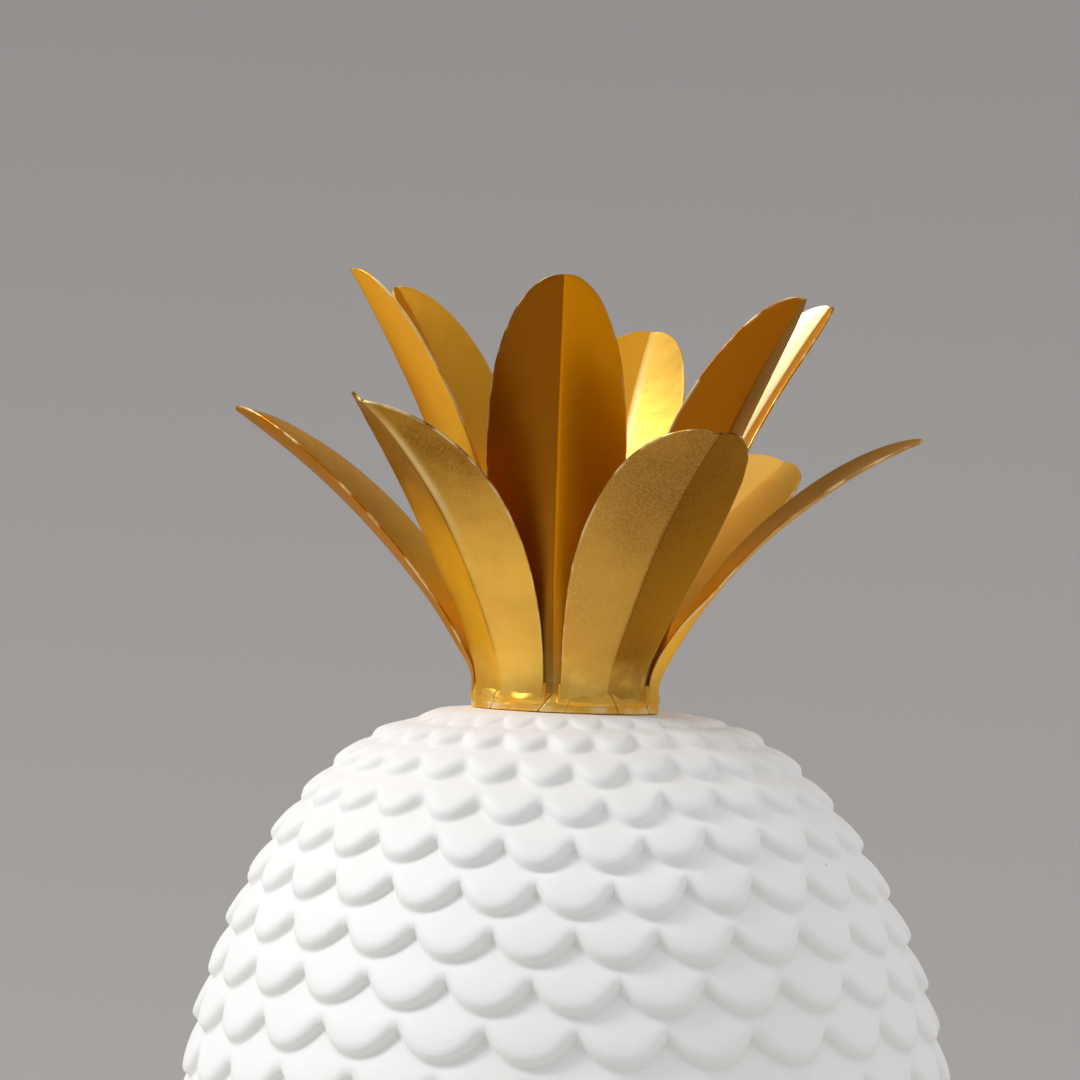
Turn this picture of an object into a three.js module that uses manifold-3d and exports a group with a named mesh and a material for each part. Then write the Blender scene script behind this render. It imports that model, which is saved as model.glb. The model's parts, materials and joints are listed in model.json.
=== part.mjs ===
// Pineapple figurine: a hollow ceramic body covered in overlapping scales, with a crown of
// folded sheet-metal leaves on a collar. Millimetres, +Z up. The origin is the centre of the
// resting face and the front of the figurine faces -Y.
import * as THREE from 'three';
import Module from 'manifold-3d';
import { mergeVertices } from 'three/addons/utils/BufferGeometryUtils.js';

const wasm = await Module();
wasm.setup();

// Body
const bodyRadius = 71.3; // widest radius, over the scale lips
const bodyHeight = 179.3; // height that the outline table's second column is a share of
const wallThickness = 6; // ceramic wall, measured from the lips
const scalesPerTurn = 26.5; // the half scale staggers each row against the one above
const rowCount = 24; // turns of the scale helix from the crown to the foot
const helixStartAngle = THREE.MathUtils.degToRad(212.3); // the first scale stands at the back left
const lipStep = 1.3; // drop from a scale's lip to the scales under it
const lipSideStep = 0.1; // drop of a lip's sides below its middle
const jointStep = 0.45; // drop of the notch where two neighbouring lips meet
const lipSlope = 0.6; // how far the foot of a lip runs out down the body
const reliefRows = 3.2; // rows over which the scales fade in below the crown
const shoulderRows = 1.6; // rows over which the shoulder turns square to the tilted crown
// Outline of the body over the lips, from under the crown to the foot. The points are evenly
// spaced along the outline: share of the body radius, share of the body height.
const outlineShares = [
  [0.245, 0.992], [0.473, 0.975], [0.651, 0.918], [0.793, 0.838], [0.896, 0.751], [0.961, 0.658],
  [0.992, 0.561], [1, 0.465], [0.987, 0.368], [0.949, 0.273], [0.879, 0.181], [0.77, 0.094],
  [0.619, 0.02],
];
// A scale's lip: offset across in scale widths, rise above the lip's middle in lip heights
const lipSideShare = 0.31;
const lipSideRiseShare = 0.28;
const lipHeightShare = 0.65; // lip height as a share of a row

// Foot and underside
const footRadius = 37;
const footRingWidth = 8; // ring that is left around the recess in the underside
const footRise = 6; // height of the foot disc above its underside
const edgeChamfer = 1.2;
const recessDepth = 1.5;
const ventRadius = 5; // casting vent in the middle of the underside
const padRadius = 3;
const padThickness = 1;
const padCount = 4;

// Crown mounting
const crownTilt = THREE.MathUtils.degToRad(2.4); // the crown sits slightly out of true
const crownRise = 0.4; // the collar's lower edge above the top of the outline
const fitGap = 0.3; // clearance between neighbouring pieces
const bossRadius = 12.8; // ceramic boss inside the collar
const bossHeight = 7;
const seatMargin = 6; // flat ceramic seat that shows around the collar
const seatFlankWidth = 4; // sloping edge of the seat
const seatFlankDrop = 1.5;
const seatDepth = 5;
const adhesiveThickness = 0.8;
const adhesiveHeight = 4.4;
const collarThickness = 1;
const collarHeight = 5.6;
const rimHeight = 0.9;

// Leaves
const sheetThickness = 0.5;
const tabHeight = 4.3; // upright part of a leaf, fixed to the collar
const foldAngle = THREE.MathUtils.degToRad(18); // each half of a leaf against its crease plane
const foldStartShare = 0.3; // share of the blade over which the round tab turns into the fold
const acrossShares = [-1, -0.5, 0, 0.5, 1];
const bladeShares = [0.07, 0.17, 0.29, 0.41, 0.53, 0.65, 0.76, 0.86, 0.93, 0.98];
const tipFullness = 2.3; // exponent of the tip's rounding
const innerTier = { bladeLength: 75.5, halfWidth: 13, tabShare: 0.5, widestShare: 0.56 };
const outerTier = { bladeLength: 67, halfWidth: 13.3, tabShare: 0.66, widestShare: 0.5 };
// Each leaf in degrees: place of its tab around the collar (0 = front, 90 = +X), sideways swing
// of its tip, lean from upright above the tab, lean at the tip, twist at the tip
const innerLeafDegrees = [
  [-8, 8, 17, 16, -8],
  [58, -3, 12, 36, -2],
  [116, -9, 16, 36, -9],
  [168, -3, 21, 45, 4],
  [-119, 4, -1, 37, 9],
  [-62, -19, 10, 33, -2],
];
const outerLeafDegrees = [
  [-43, 11, 22, 65, 16],
  [26, -5, 30, 60, 3],
  [92, -1, 25, 66, -9],
  [154, -10, 50, 62, -19],
  [-105, -3, 34, 59, -5],
];
// The same leaves' blade lengths, as shares of their tier's blade length
const innerLengthShares = [0.97, 1, 1.04, 1.06, 1, 1.02];
const outerLengthShares = [1, 0.92, 0.99, 1.14, 1.02];

// Facet counts
const ringSegments = 40;
const cavitySegments = 18;
const cavityRows = 9;
const smallSegments = 20;
const bendSteps = 40;
const weldTolerance = 1e-4;

const ceramic = { color: 0xf1efea, roughness: 0.75, metalness: 0 };
const gold = { color: 0xc9952f, roughness: 0.35, metalness: 1 };
const adhesive = { color: 0xd9d2c0, roughness: 0.6, metalness: 0 };
const felt = { color: 0x3b3a38, roughness: 0.95, metalness: 0 };

// Radii and levels that follow from the sizes above
const underside = padThickness + fitGap;
const adhesiveInner = bossRadius + fitGap;
const collarInner = adhesiveInner + adhesiveThickness + fitGap;
const collarOuter = collarInner + collarThickness;
const innerTabRadius = collarOuter + fitGap + sheetThickness;
const outerTabRadius = innerTabRadius + fitGap + sheetThickness;
const seatRadius = outerTabRadius + seatMargin;
const tabLevel = rimHeight + fitGap;
const outline = new THREE.SplineCurve(
  outlineShares.map(([radiusShare, heightShare]) => new THREE.Vector2(
    radiusShare * bodyRadius,
    underside + heightShare * bodyHeight,
  )),
);
const outlineTop = outline.getPointAt(0).y;
const crownHeight = outlineTop + crownRise;
const recessRadius = footRadius - footRingWidth;
const rowPitch = outline.getLength() / rowCount;
const leadingScales = Math.ceil(scalesPerTurn); // scales before the first one with scales above

// Solids for cutting and joining
function toSolid(geometry) {
  const bare = geometry.clone();
  bare.deleteAttribute('normal');
  bare.deleteAttribute('uv');
  const welded = mergeVertices(bare, weldTolerance);
  return new wasm.Manifold(new wasm.Mesh({
    numProp: 3,
    vertProperties: welded.attributes.position.array,
    triVerts: welded.index.array,
  }));
}

function toGeometry(solid) {
  const mesh = solid.getMesh();
  const geometry = new THREE.BufferGeometry();
  geometry.setAttribute('position', new THREE.BufferAttribute(mesh.vertProperties, 3));
  geometry.setIndex(new THREE.BufferAttribute(mesh.triVerts, 1));
  geometry.computeVertexNormals();
  return geometry;
}

function indexedGeometry(points, triangles) {
  const geometry = new THREE.BufferGeometry();
  geometry.setAttribute('position', new THREE.Float32BufferAttribute(points.flat(), 3));
  geometry.setIndex(triangles.flat());
  geometry.computeVertexNormals();
  return geometry;
}

// A profile of [radius, height] points, listed from the bottom up on the outside, spun about Z
function turned(profile, segments) {
  const points = profile.map(([radius, height]) => new THREE.Vector2(radius, height));
  return new THREE.LatheGeometry(points, segments).rotateX(Math.PI / 2);
}

// A point on the body: azimuth from the front, row along the outline, height over the lips
function bodyPoint(azimuth, row, raise) {
  const share = THREE.MathUtils.clamp(row / rowCount, 0, 1);
  const place = outline.getPointAt(share);
  const along = outline.getTangentAt(share);
  const relief = raise * THREE.MathUtils.smoothstep(row, 0, reliefRows);
  const radius = place.x - along.y * relief;
  const x = radius * Math.sin(azimuth);
  const y = -radius * Math.cos(azimuth);
  const upright = THREE.MathUtils.smoothstep(row, 0, shoulderRows);
  return [x, y, place.y + along.x * relief - x * Math.tan(crownTilt) * (1 - upright)];
}

// The eight points of one scale: the left, middle and right of its lip and the joint with the
// next lip, and then the foot under each of them
function scalePoints(index) {
  const footRun = lipSlope / rowPitch;
  const sideRise = lipSideRiseShare * lipHeightShare;
  const at = (across, rise, raise) => {
    const turns = (index + across) / scalesPerTurn;
    return bodyPoint(helixStartAngle + turns * 2 * Math.PI, turns - rise, raise);
  };
  return [
    at(-lipSideShare, sideRise, -lipSideStep),
    at(0, 0, 0),
    at(lipSideShare, sideRise, -lipSideStep),
    at(1 / 2, lipHeightShare, -jointStep),
    at(-lipSideShare, sideRise - footRun, -lipStep),
    at(0, -footRun, -lipStep),
    at(lipSideShare, sideRise - footRun, -lipStep),
    at(1 / 2, lipHeightShare - footRun, -lipStep),
  ];
}

const scalePointCount = 8;
const [lipLeft, lipMiddle, lipRight, lipJoint, footLeft, footMiddle, footRight, footJoint] =
  Array(scalePointCount).keys();

function scaleVertex(index, point) {
  return index * scalePointCount + point;
}

// Faces between two chains of vertices, the first above the second, both from left to right
function strip(above, below) {
  return below.slice(1).flatMap((right, i) => [
    [above[i], below[i], right],
    [above[i], right, above[i + 1]],
  ]);
}

// A scale's own lip, from the joint on its left to the joint on its right
function lipChain(index) {
  const own = [lipLeft, lipMiddle, lipRight, lipJoint].map((point) => scaleVertex(index, point));
  return [scaleVertex(index - 1, lipJoint), ...own];
}

// The foot of the same lip
function footChain(index) {
  const own = [footLeft, footMiddle, footRight, footJoint].map((point) => scaleVertex(index, point));
  return [scaleVertex(index - 1, footJoint), ...own];
}

// The face of a scale: from the feet of the two scales above it down to its own lip
function scaleFace(index) {
  const aboveRight = index - Math.floor(scalesPerTurn);
  const aboveLeft = index - leadingScales;
  const emerging = [
    scaleVertex(aboveLeft, footMiddle),
    scaleVertex(aboveLeft, footRight),
    scaleVertex(aboveLeft, footJoint),
    scaleVertex(aboveRight, footLeft),
    scaleVertex(aboveRight, footMiddle),
  ];
  return strip(emerging, lipChain(index));
}

// The step under a scale's lip
function lipWall(index) {
  return strip(lipChain(index), footChain(index));
}

// Closes the open edges at the crown end and at the foot end, each with a fan to the axis
function capFaces(faces, lastIndex, crownCentre, footCentre) {
  const edges = new Set();
  for (const face of faces) {
    face.forEach((vertex, i) => edges.add(`${vertex} ${face[(i + 1) % face.length]}`));
  }
  const caps = [];
  for (const face of faces) {
    face.forEach((from, i) => {
      const to = face[(i + 1) % face.length];
      if (!edges.has(`${to} ${from}`)) {
        const atCrown = from < scaleVertex(lastIndex / 2, 0);
        caps.push([to, from, atCrown ? crownCentre : footCentre]);
      }
    });
  }
  return caps;
}

function scaledSkin() {
  const lastIndex = Math.floor(rowCount * scalesPerTurn);
  const points = [];
  const faces = [];
  for (let index = 0; index <= lastIndex; index += 1) {
    points.push(...scalePoints(index));
    if (index >= leadingScales) {
      faces.push(...scaleFace(index));
    }
    if (index >= leadingScales && index + leadingScales <= lastIndex) {
      faces.push(...lipWall(index));
    }
  }
  const crownCentre = points.length;
  const footCentre = crownCentre + 1;
  points.push([0, 0, outlineTop - lipStep], [0, 0, underside + footRise / 2]);
  faces.push(...capFaces(faces, lastIndex, crownCentre, footCentre));
  return toSolid(indexedGeometry(points, faces));
}

// The flat seat and the boss that the collar sits over, tilted with the crown
function crownSeat() {
  return toSolid(turned([
    [0, -seatDepth],
    [seatRadius + seatFlankWidth, -seatDepth],
    [seatRadius + seatFlankWidth, -fitGap - seatFlankDrop],
    [seatRadius, -fitGap],
    [bossRadius, -fitGap],
    [bossRadius, bossHeight - edgeChamfer],
    [bossRadius - edgeChamfer, bossHeight],
    [0, bossHeight],
  ], ringSegments).rotateY(crownTilt).translate(0, 0, crownHeight));
}

function footDisc() {
  return toSolid(turned([
    [0, underside],
    [footRadius - edgeChamfer, underside],
    [footRadius, underside + edgeChamfer],
    [footRadius, underside + footRise],
    [0, underside + footRise],
  ], ringSegments));
}

// The hollow follows the outline at the wall thickness, and stays clear of the foot disc
function cavity() {
  const floor = underside + footRise + recessDepth;
  const profile = [];
  for (let row = cavityRows; row > 0; row -= 1) {
    const share = row / (cavityRows + 1);
    const place = outline.getPointAt(share);
    const along = outline.getTangentAt(share);
    profile.push([
      place.x + along.y * wallThickness,
      Math.max(place.y - along.x * wallThickness, floor),
    ]);
  }
  const roof = outlineTop - seatDepth - wallThickness;
  return toSolid(turned([[0, floor], ...profile, [0, roof]], cavitySegments));
}

function undersideCuts() {
  const recess = turned([
    [0, 0],
    [recessRadius, 0],
    [recessRadius, underside + recessDepth],
    [0, underside + recessDepth],
  ], ringSegments);
  const vent = turned([
    [0, 0],
    [ventRadius, 0],
    [ventRadius, underside + footRise + wallThickness],
    [0, underside + footRise + wallThickness],
  ], smallSegments);
  return toSolid(recess).add(toSolid(vent));
}

function bodyShell() {
  return toGeometry(scaledSkin()
    .add(crownSeat())
    .add(footDisc())
    .subtract(cavity())
    .subtract(undersideCuts()));
}

function footPad() {
  return turned([
    [0, 0],
    [padRadius, 0],
    [padRadius, padThickness],
    [0, padThickness],
  ], smallSegments);
}

// The collar: a plain ring behind the leaf tabs, with a rim under them
function crownCollar() {
  return turned([
    [collarInner, 0],
    [outerTabRadius, 0],
    [outerTabRadius, rimHeight],
    [collarOuter, rimHeight],
    [collarOuter, collarHeight],
    [collarInner, collarHeight],
    [collarInner, 0],
  ], ringSegments);
}

function crownAdhesive() {
  return turned([
    [adhesiveInner, 0],
    [adhesiveInner + adhesiveThickness, 0],
    [adhesiveInner + adhesiveThickness, adhesiveHeight],
    [adhesiveInner, adhesiveHeight],
    [adhesiveInner, 0],
  ], ringSegments);
}

// Half the blade's width at a share of its length: a narrow root, a full middle, a round tip
function bladeHalfWidth(tier, share) {
  if (share < tier.widestShare) {
    const rise = Math.sin(share / tier.widestShare * Math.PI / 2);
    return tier.halfWidth * (tier.tabShare + (1 - tier.tabShare) * rise);
  }
  const beyond = (share - tier.widestShare) / (1 - tier.widestShare);
  return tier.halfWidth * Math.sqrt(1 - beyond ** tipFullness);
}

// Directions at a share of the blade: up along it, sideways across it, and in towards the axis
function bladeFrame(leaf, share) {
  const lean = leaf.rootLean + (leaf.tipLean - leaf.rootLean) * share;
  const azimuth = leaf.azimuth + leaf.swing * (1 - (1 - share) ** 2);
  const outward = new THREE.Vector3(Math.sin(azimuth), -Math.cos(azimuth), 0);
  const up = new THREE.Vector3(0, 0, 1);
  const along = up.clone().multiplyScalar(Math.cos(lean))
    .addScaledVector(outward, Math.sin(lean));
  const inward = up.clone().multiplyScalar(Math.sin(lean))
    .addScaledVector(outward, -Math.cos(lean));
  const across = new THREE.Vector3(Math.cos(azimuth), Math.sin(azimuth), 0);
  const twist = leaf.twist * share;
  across.applyAxisAngle(along, -twist);
  inward.applyAxisAngle(along, -twist);
  return { along, across, inward };
}

// A point on the crease, found by adding up small steps along the blade
function creasePoint(leaf, share) {
  const point = new THREE.Vector3(
    leaf.radius * Math.sin(leaf.azimuth),
    -leaf.radius * Math.cos(leaf.azimuth),
    tabLevel + tabHeight,
  );
  for (let step = 0; step < bendSteps; step += 1) {
    const here = share * (step + 1 / 2) / bendSteps;
    point.addScaledVector(bladeFrame(leaf, here).along, leaf.length * share / bendSteps);
  }
  return point;
}

// One row of points across a leaf, outer face first and inner face after it
function leafRow(leaf, share, height) {
  const { across, inward } = bladeFrame(leaf, share);
  const crease = creasePoint(leaf, share);
  crease.z -= height;
  const halfWidth = bladeHalfWidth(leaf.tier, share);
  const fold = THREE.MathUtils.smoothstep(share, 0, foldStartShare);
  const outer = [];
  const inner = [];
  for (const side of acrossShares) {
    const bend = side * halfWidth / leaf.radius;
    const tilt = foldAngle * Math.sign(side);
    const sideways = THREE.MathUtils.lerp(
      leaf.radius * Math.sin(bend),
      side * halfWidth * Math.cos(tilt),
      fold,
    );
    const depth = THREE.MathUtils.lerp(
      leaf.radius * (1 - Math.cos(bend)),
      side * halfWidth * Math.sin(tilt),
      fold,
    );
    const turn = THREE.MathUtils.lerp(bend, tilt, fold);
    const face = crease.clone().addScaledVector(across, sideways).addScaledVector(inward, depth);
    const back = face.clone()
      .addScaledVector(across, -Math.sin(turn) * sheetThickness)
      .addScaledVector(inward, Math.cos(turn) * sheetThickness);
    outer.push(face.toArray());
    inner.push(back.toArray());
  }
  return [...outer, ...inner];
}

// Faces between two rows of points, all the way around the sheet's section
function leafBand(from, to, ring) {
  return ring.flatMap((point, i) => {
    const next = ring[(i + 1) % ring.length];
    return [[from + point, from + next, to + next], [from + point, to + next, to + point]];
  });
}

function leafGeometry(leaf) {
  const rows = [leafRow(leaf, 0, tabHeight), leafRow(leaf, 0, 0)];
  rows.push(...bladeShares.map((share) => leafRow(leaf, share, 0)));
  const width = acrossShares.length;
  const rowLength = width * 2;
  const order = [...acrossShares.keys()];
  const ring = [...order, ...order.map((i) => rowLength - 1 - i)];
  const faces = [];
  for (let row = 0; row + 1 < rows.length; row += 1) {
    faces.push(...leafBand(row * rowLength, (row + 1) * rowLength, ring));
  }
  const tip = creasePoint(leaf, 1);
  const points = [...rows.flat(), tip.toArray()];
  const tipVertex = points.length - 1;
  const lastRow = (rows.length - 1) * rowLength;
  ring.forEach((point, i) => {
    faces.push([lastRow + point, lastRow + ring[(i + 1) % ring.length], tipVertex]);
  });
  order.slice(0, -1).forEach((i) => {
    faces.push([i, width + i, width + i + 1], [i, width + i + 1, i + 1]);
  });
  return indexedGeometry(points, faces);
}

function leafFrom(degrees, lengthShare, tier, radius) {
  const [azimuth, swing, rootLean, tipLean, twist] = degrees.map(THREE.MathUtils.degToRad);
  const length = lengthShare * tier.bladeLength;
  return { tier, radius, length, azimuth, swing, rootLean, tipLean, twist };
}

function piece(name, geometry, finish) {
  const mesh = new THREE.Mesh(geometry, new THREE.MeshStandardMaterial(finish));
  mesh.name = name;
  return mesh;
}

// Assembly
const group = new THREE.Group();
group.name = 'pineapple_figurine';
group.add(piece('body_shell', bodyShell(), ceramic));

for (let i = 0; i < padCount; i += 1) {
  const pad = piece(`foot_pad_${i + 1}`, footPad(), felt);
  const azimuth = (i + 1 / 2) * 2 * Math.PI / padCount;
  const reach = (recessRadius + footRadius - edgeChamfer) / 2;
  pad.position.set(reach * Math.sin(azimuth), -reach * Math.cos(azimuth), 0);
  group.add(pad);
}

const crown = new THREE.Group();
crown.name = 'crown';
crown.position.z = crownHeight;
crown.rotation.y = crownTilt;
crown.add(piece('crown_collar', crownCollar(), gold));
crown.add(piece('crown_adhesive', crownAdhesive(), adhesive));
innerLeafDegrees.forEach((degrees, i) => {
  const leaf = leafFrom(degrees, innerLengthShares[i], innerTier, innerTabRadius);
  crown.add(piece(`inner_leaf_${i + 1}`, leafGeometry(leaf), gold));
});
outerLeafDegrees.forEach((degrees, i) => {
  const leaf = leafFrom(degrees, outerLengthShares[i], outerTier, outerTabRadius);
  crown.add(piece(`outer_leaf_${i + 1}`, leafGeometry(leaf), gold));
});
group.add(crown);

export default group;
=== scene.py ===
"""Visual model of a pineapple figurine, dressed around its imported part.

A hollow, matt white ceramic body is covered in overlapping scales. A crown of folded sheet-metal
leaves, painted gold, stands on a collar that is glued over a boss on the shoulder. Metres, +Z up,
the front of the figurine faces -Y.
"""

import json
import logging
import math
from collections.abc import Iterable, Mapping, Sequence
from dataclasses import dataclass, field, fields
from enum import Enum

import bmesh
import bpy
import numpy as np
from mathutils import Matrix, Vector, noise

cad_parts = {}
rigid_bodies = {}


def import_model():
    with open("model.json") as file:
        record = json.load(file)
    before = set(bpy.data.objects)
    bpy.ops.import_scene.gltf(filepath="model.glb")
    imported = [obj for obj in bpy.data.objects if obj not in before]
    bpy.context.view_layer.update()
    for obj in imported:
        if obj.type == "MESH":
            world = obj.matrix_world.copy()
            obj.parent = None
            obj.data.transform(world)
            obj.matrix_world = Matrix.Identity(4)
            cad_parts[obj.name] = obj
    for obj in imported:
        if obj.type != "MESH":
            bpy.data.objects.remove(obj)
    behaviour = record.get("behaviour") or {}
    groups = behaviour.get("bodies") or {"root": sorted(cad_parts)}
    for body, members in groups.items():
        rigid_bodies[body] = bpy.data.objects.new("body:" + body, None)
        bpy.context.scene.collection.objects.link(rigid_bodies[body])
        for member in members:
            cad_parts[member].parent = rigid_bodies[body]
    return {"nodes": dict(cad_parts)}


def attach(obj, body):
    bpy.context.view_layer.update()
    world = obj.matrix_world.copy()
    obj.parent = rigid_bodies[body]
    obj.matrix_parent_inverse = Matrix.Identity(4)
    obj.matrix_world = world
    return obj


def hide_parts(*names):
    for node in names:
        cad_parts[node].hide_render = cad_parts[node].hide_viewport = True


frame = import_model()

LOG = logging.getLogger("pineapple_figurine")
MM = 0.001
BODY = "root"
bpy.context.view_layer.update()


Tone = tuple[float, float, float]


class Slot(Enum):
    """The record's material slots, by name; the built pieces are not given them here."""

    CERAMIC = "body_ceramic"
    GOLD = "crown_gold"
    FELT = "felt"


def clamp(share: float) -> float:
    """The share, held between 0 and 1."""
    return min(max(share, 0), 1)


def ease(share: float) -> float:
    """A smooth rise from 0 to 1, as the share does."""
    held = clamp(share)
    return held * held * (3 - 2 * held)


def fill(node: bpy.types.Node, inputs: Mapping[str | int, object]) -> bpy.types.Node:
    """Fills a node's sockets.

    Args:
        node: the node.
        inputs: a socket, a value or a constant for each socket, by its name or number.

    Returns:
        The node.
    """
    for name, given in inputs.items():
        source = given.socket if isinstance(given, Value) else given
        if isinstance(source, bpy.types.NodeSocket):
            node.id_data.links.new(source, node.inputs[name])
        else:
            node.inputs[name].default_value = source
    return node


def add_node(tree: bpy.types.NodeTree, kind: str, inputs: Mapping[str | int, object] | None = None,
             **settings: str) -> bpy.types.Node:
    """Adds a node to a tree.

    Args:
        tree: the tree.
        kind: Blender's name for the kind of node.
        inputs: what goes into its sockets.
        settings: the node's own settings.

    Returns:
        The node.
    """
    node = tree.nodes.new(kind)
    for name, setting in settings.items():
        setattr(node, name, setting)
    return fill(node, inputs or {})


def lead(geometry: bpy.types.NodeSocket,
         steps: Iterable[tuple[str, Mapping[str | int, object]]]) -> bpy.types.NodeSocket:
    """Leads a geometry through nodes, one after another.

    Args:
        geometry: the socket that it comes from.
        steps: the kind of each node, and what else goes into its sockets.

    Returns:
        The socket of the last node's geometry.
    """
    for kind, inputs in steps:
        node = add_node(geometry.id_data, kind, {"Geometry": geometry, **inputs})
        geometry = node.outputs["Geometry"]
    return geometry


class Value:
    """A number on a node's socket. Arithmetic on it adds math nodes to the same tree."""

    def __init__(self, socket: bpy.types.NodeSocket) -> None:
        """Keeps the socket that carries the number."""
        self.socket = socket

    def math(self, operation: str, *others: "Value | float") -> "Value":
        """Adds one math node.

        Args:
            operation: Blender's name for the operation.
            others: the other operands, as values or plain numbers.

        Returns:
            The node's result.
        """
        inputs = dict(enumerate((self, *others)))
        node = add_node(self.socket.id_data, "ShaderNodeMath", inputs, operation=operation)
        return Value(node.outputs[0])

    def __add__(self, other: "Value | float") -> "Value":
        """The sum."""
        return self.math("ADD", other)

    def __sub__(self, other: "Value | float") -> "Value":
        """The difference."""
        return self.math("SUBTRACT", other)

    def __rsub__(self, other: float) -> "Value":
        """The difference from a plain number."""
        return -self + other

    def __mul__(self, other: "Value | float") -> "Value":
        """The product."""
        return self.math("MULTIPLY", other)

    def __truediv__(self, other: "Value | float") -> "Value":
        """The quotient, 0 where the divisor is 0."""
        return self.math("DIVIDE", other)

    def __neg__(self) -> "Value":
        """The negative."""
        return self.math("MULTIPLY", -1.0)

    def __abs__(self) -> "Value":
        """The size without the sign."""
        return self.math("ABSOLUTE")

    __radd__ = __add__
    __rmul__ = __mul__

    def between(self, low: "Value | float", high: "Value | float") -> "Value":
        """The number, held between two limits."""
        return self.math("MAXIMUM", low).math("MINIMUM", high)

    def smooth(self, low: "Value | float", high: "Value | float") -> "Value":
        """A soft step.

        Args:
            low: where the step begins.
            high: where it ends.

        Returns:
            0 below low, 1 above high, and a smooth rise between them.
        """
        node = add_node(
            self.socket.id_data, "ShaderNodeMapRange",
            {"Value": self, "From Min": low, "From Max": high}, interpolation_type="SMOOTHSTEP",
        )
        return Value(node.outputs["Result"])

    def bell(self, width: "Value | float") -> "Value":
        """A bell curve that is 1 where the number is 0 and falls off over a width."""
        scaled = self / width
        return (-(scaled * scaled)).math("EXPONENT")

    def towards(self, other: "Value | float", share: "Value") -> "Value":
        """The number moved towards another one by a share of the way."""
        return self + (other - self) * share


def object_from(name: str, mesh: bpy.types.Mesh) -> bpy.types.Object:
    """Puts a mesh into the scene.

    Args:
        name: the object's and the mesh's name.
        mesh: the mesh, with its place in its points.

    Returns:
        The new object, at the origin.
    """
    mesh.name = name
    made = bpy.data.objects.new(name, mesh)
    bpy.context.scene.collection.objects.link(made)
    return made


def applied(source: bpy.types.Object) -> bpy.types.Object:
    """Turns an object with modifiers into a plain mesh.

    Args:
        source: the object, which is removed.

    Returns:
        A new object of the same name that holds the finished mesh.
    """
    name = source.name
    graph = bpy.context.evaluated_depsgraph_get()
    mesh = bpy.data.meshes.new_from_object(source.evaluated_get(graph), depsgraph=graph)
    bpy.data.objects.remove(source)
    return object_from(name, mesh)


def mesh_from(name: str, points: np.ndarray, faces: Sequence[Sequence[int]]) -> bpy.types.Mesh:
    """Makes a mesh.

    Args:
        name: its name.
        points: one row of three coordinates for each point.
        faces: the points of each face.

    Returns:
        The mesh.
    """
    mesh = bpy.data.meshes.new(name)
    mesh.from_pydata(points.tolist(), [], [list(face) for face in faces])
    mesh.update()
    return mesh


def grid_faces(rows: int, columns: int, closed: bool) -> list[Sequence[int]]:
    """Lists the four-sided faces of a grid of points that is stored row by row.

    Args:
        rows: how many rows of points there are.
        columns: how many points a row has.
        closed: whether the last column joins the first.

    Returns:
        The faces.
    """
    faces: list[Sequence[int]] = []
    for row in range(rows - 1):
        for column in range(columns if closed else columns - 1):
            here = row * columns + column
            beside = row * columns + (column + 1) % columns
            faces.append((here, beside, beside + columns, here + columns))
    return faces


def turned(profile: Sequence[tuple[float, float]],
           segments: int) -> tuple[np.ndarray, list[Sequence[int]]]:
    """Turns a profile round the axis.

    Args:
        profile: radius and level of each ring of points.
        segments: points in a ring.

    Returns:
        The points, ring by ring, and the faces between the rings.
    """
    points = [
        (radius * math.cos(angle), radius * math.sin(angle), level)
        for radius, level in profile
        for angle in np.linspace(0, 2 * math.pi, segments, endpoint=False)
    ]
    return np.array(points), grid_faces(len(profile), segments, True)


def finish_mesh(mesh: bpy.types.Mesh, sharp_degrees: float) -> int:
    """Merges doubles, turns the faces outwards and shades them smooth up to an angle.

    Args:
        mesh: the mesh to finish.
        sharp_degrees: edges that turn by more than this stay sharp.

    Returns:
        How many open edges are left.
    """
    merge = 0.001 * MM
    work = bmesh.new()
    work.from_mesh(mesh)
    bmesh.ops.remove_doubles(work, verts=work.verts, dist=merge)
    bmesh.ops.dissolve_degenerate(work, edges=work.edges, dist=merge)
    bmesh.ops.recalc_face_normals(work, faces=work.faces)
    open_edges = sum(edge.is_boundary for edge in work.edges)
    work.to_mesh(mesh)
    work.free()
    mesh.shade_smooth()
    mesh.set_sharp_from_angle(angle=math.radians(sharp_degrees))
    return open_edges


def store(mesh: bpy.types.Mesh, stored: Mapping[str, Sequence[float]]) -> None:
    """Stores numbers on a mesh's points, by name.

    Args:
        mesh: the mesh.
        stored: the numbers of each name, point by point.
    """
    for name, values in stored.items():
        mesh.attributes.new(name, "FLOAT", "POINT").data.foreach_set("value", values)


def keep(piece: bpy.types.Object, nodes: Iterable[str]) -> None:
    """Hands a finished piece to the frame and reports it.

    Args:
        piece: the finished piece.
        nodes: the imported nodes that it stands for.
    """
    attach(piece, BODY)
    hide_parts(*nodes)
    LOG.info("%s: %d faces, stands for %s", piece.name, len(piece.data.polygons), ", ".join(nodes))


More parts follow.
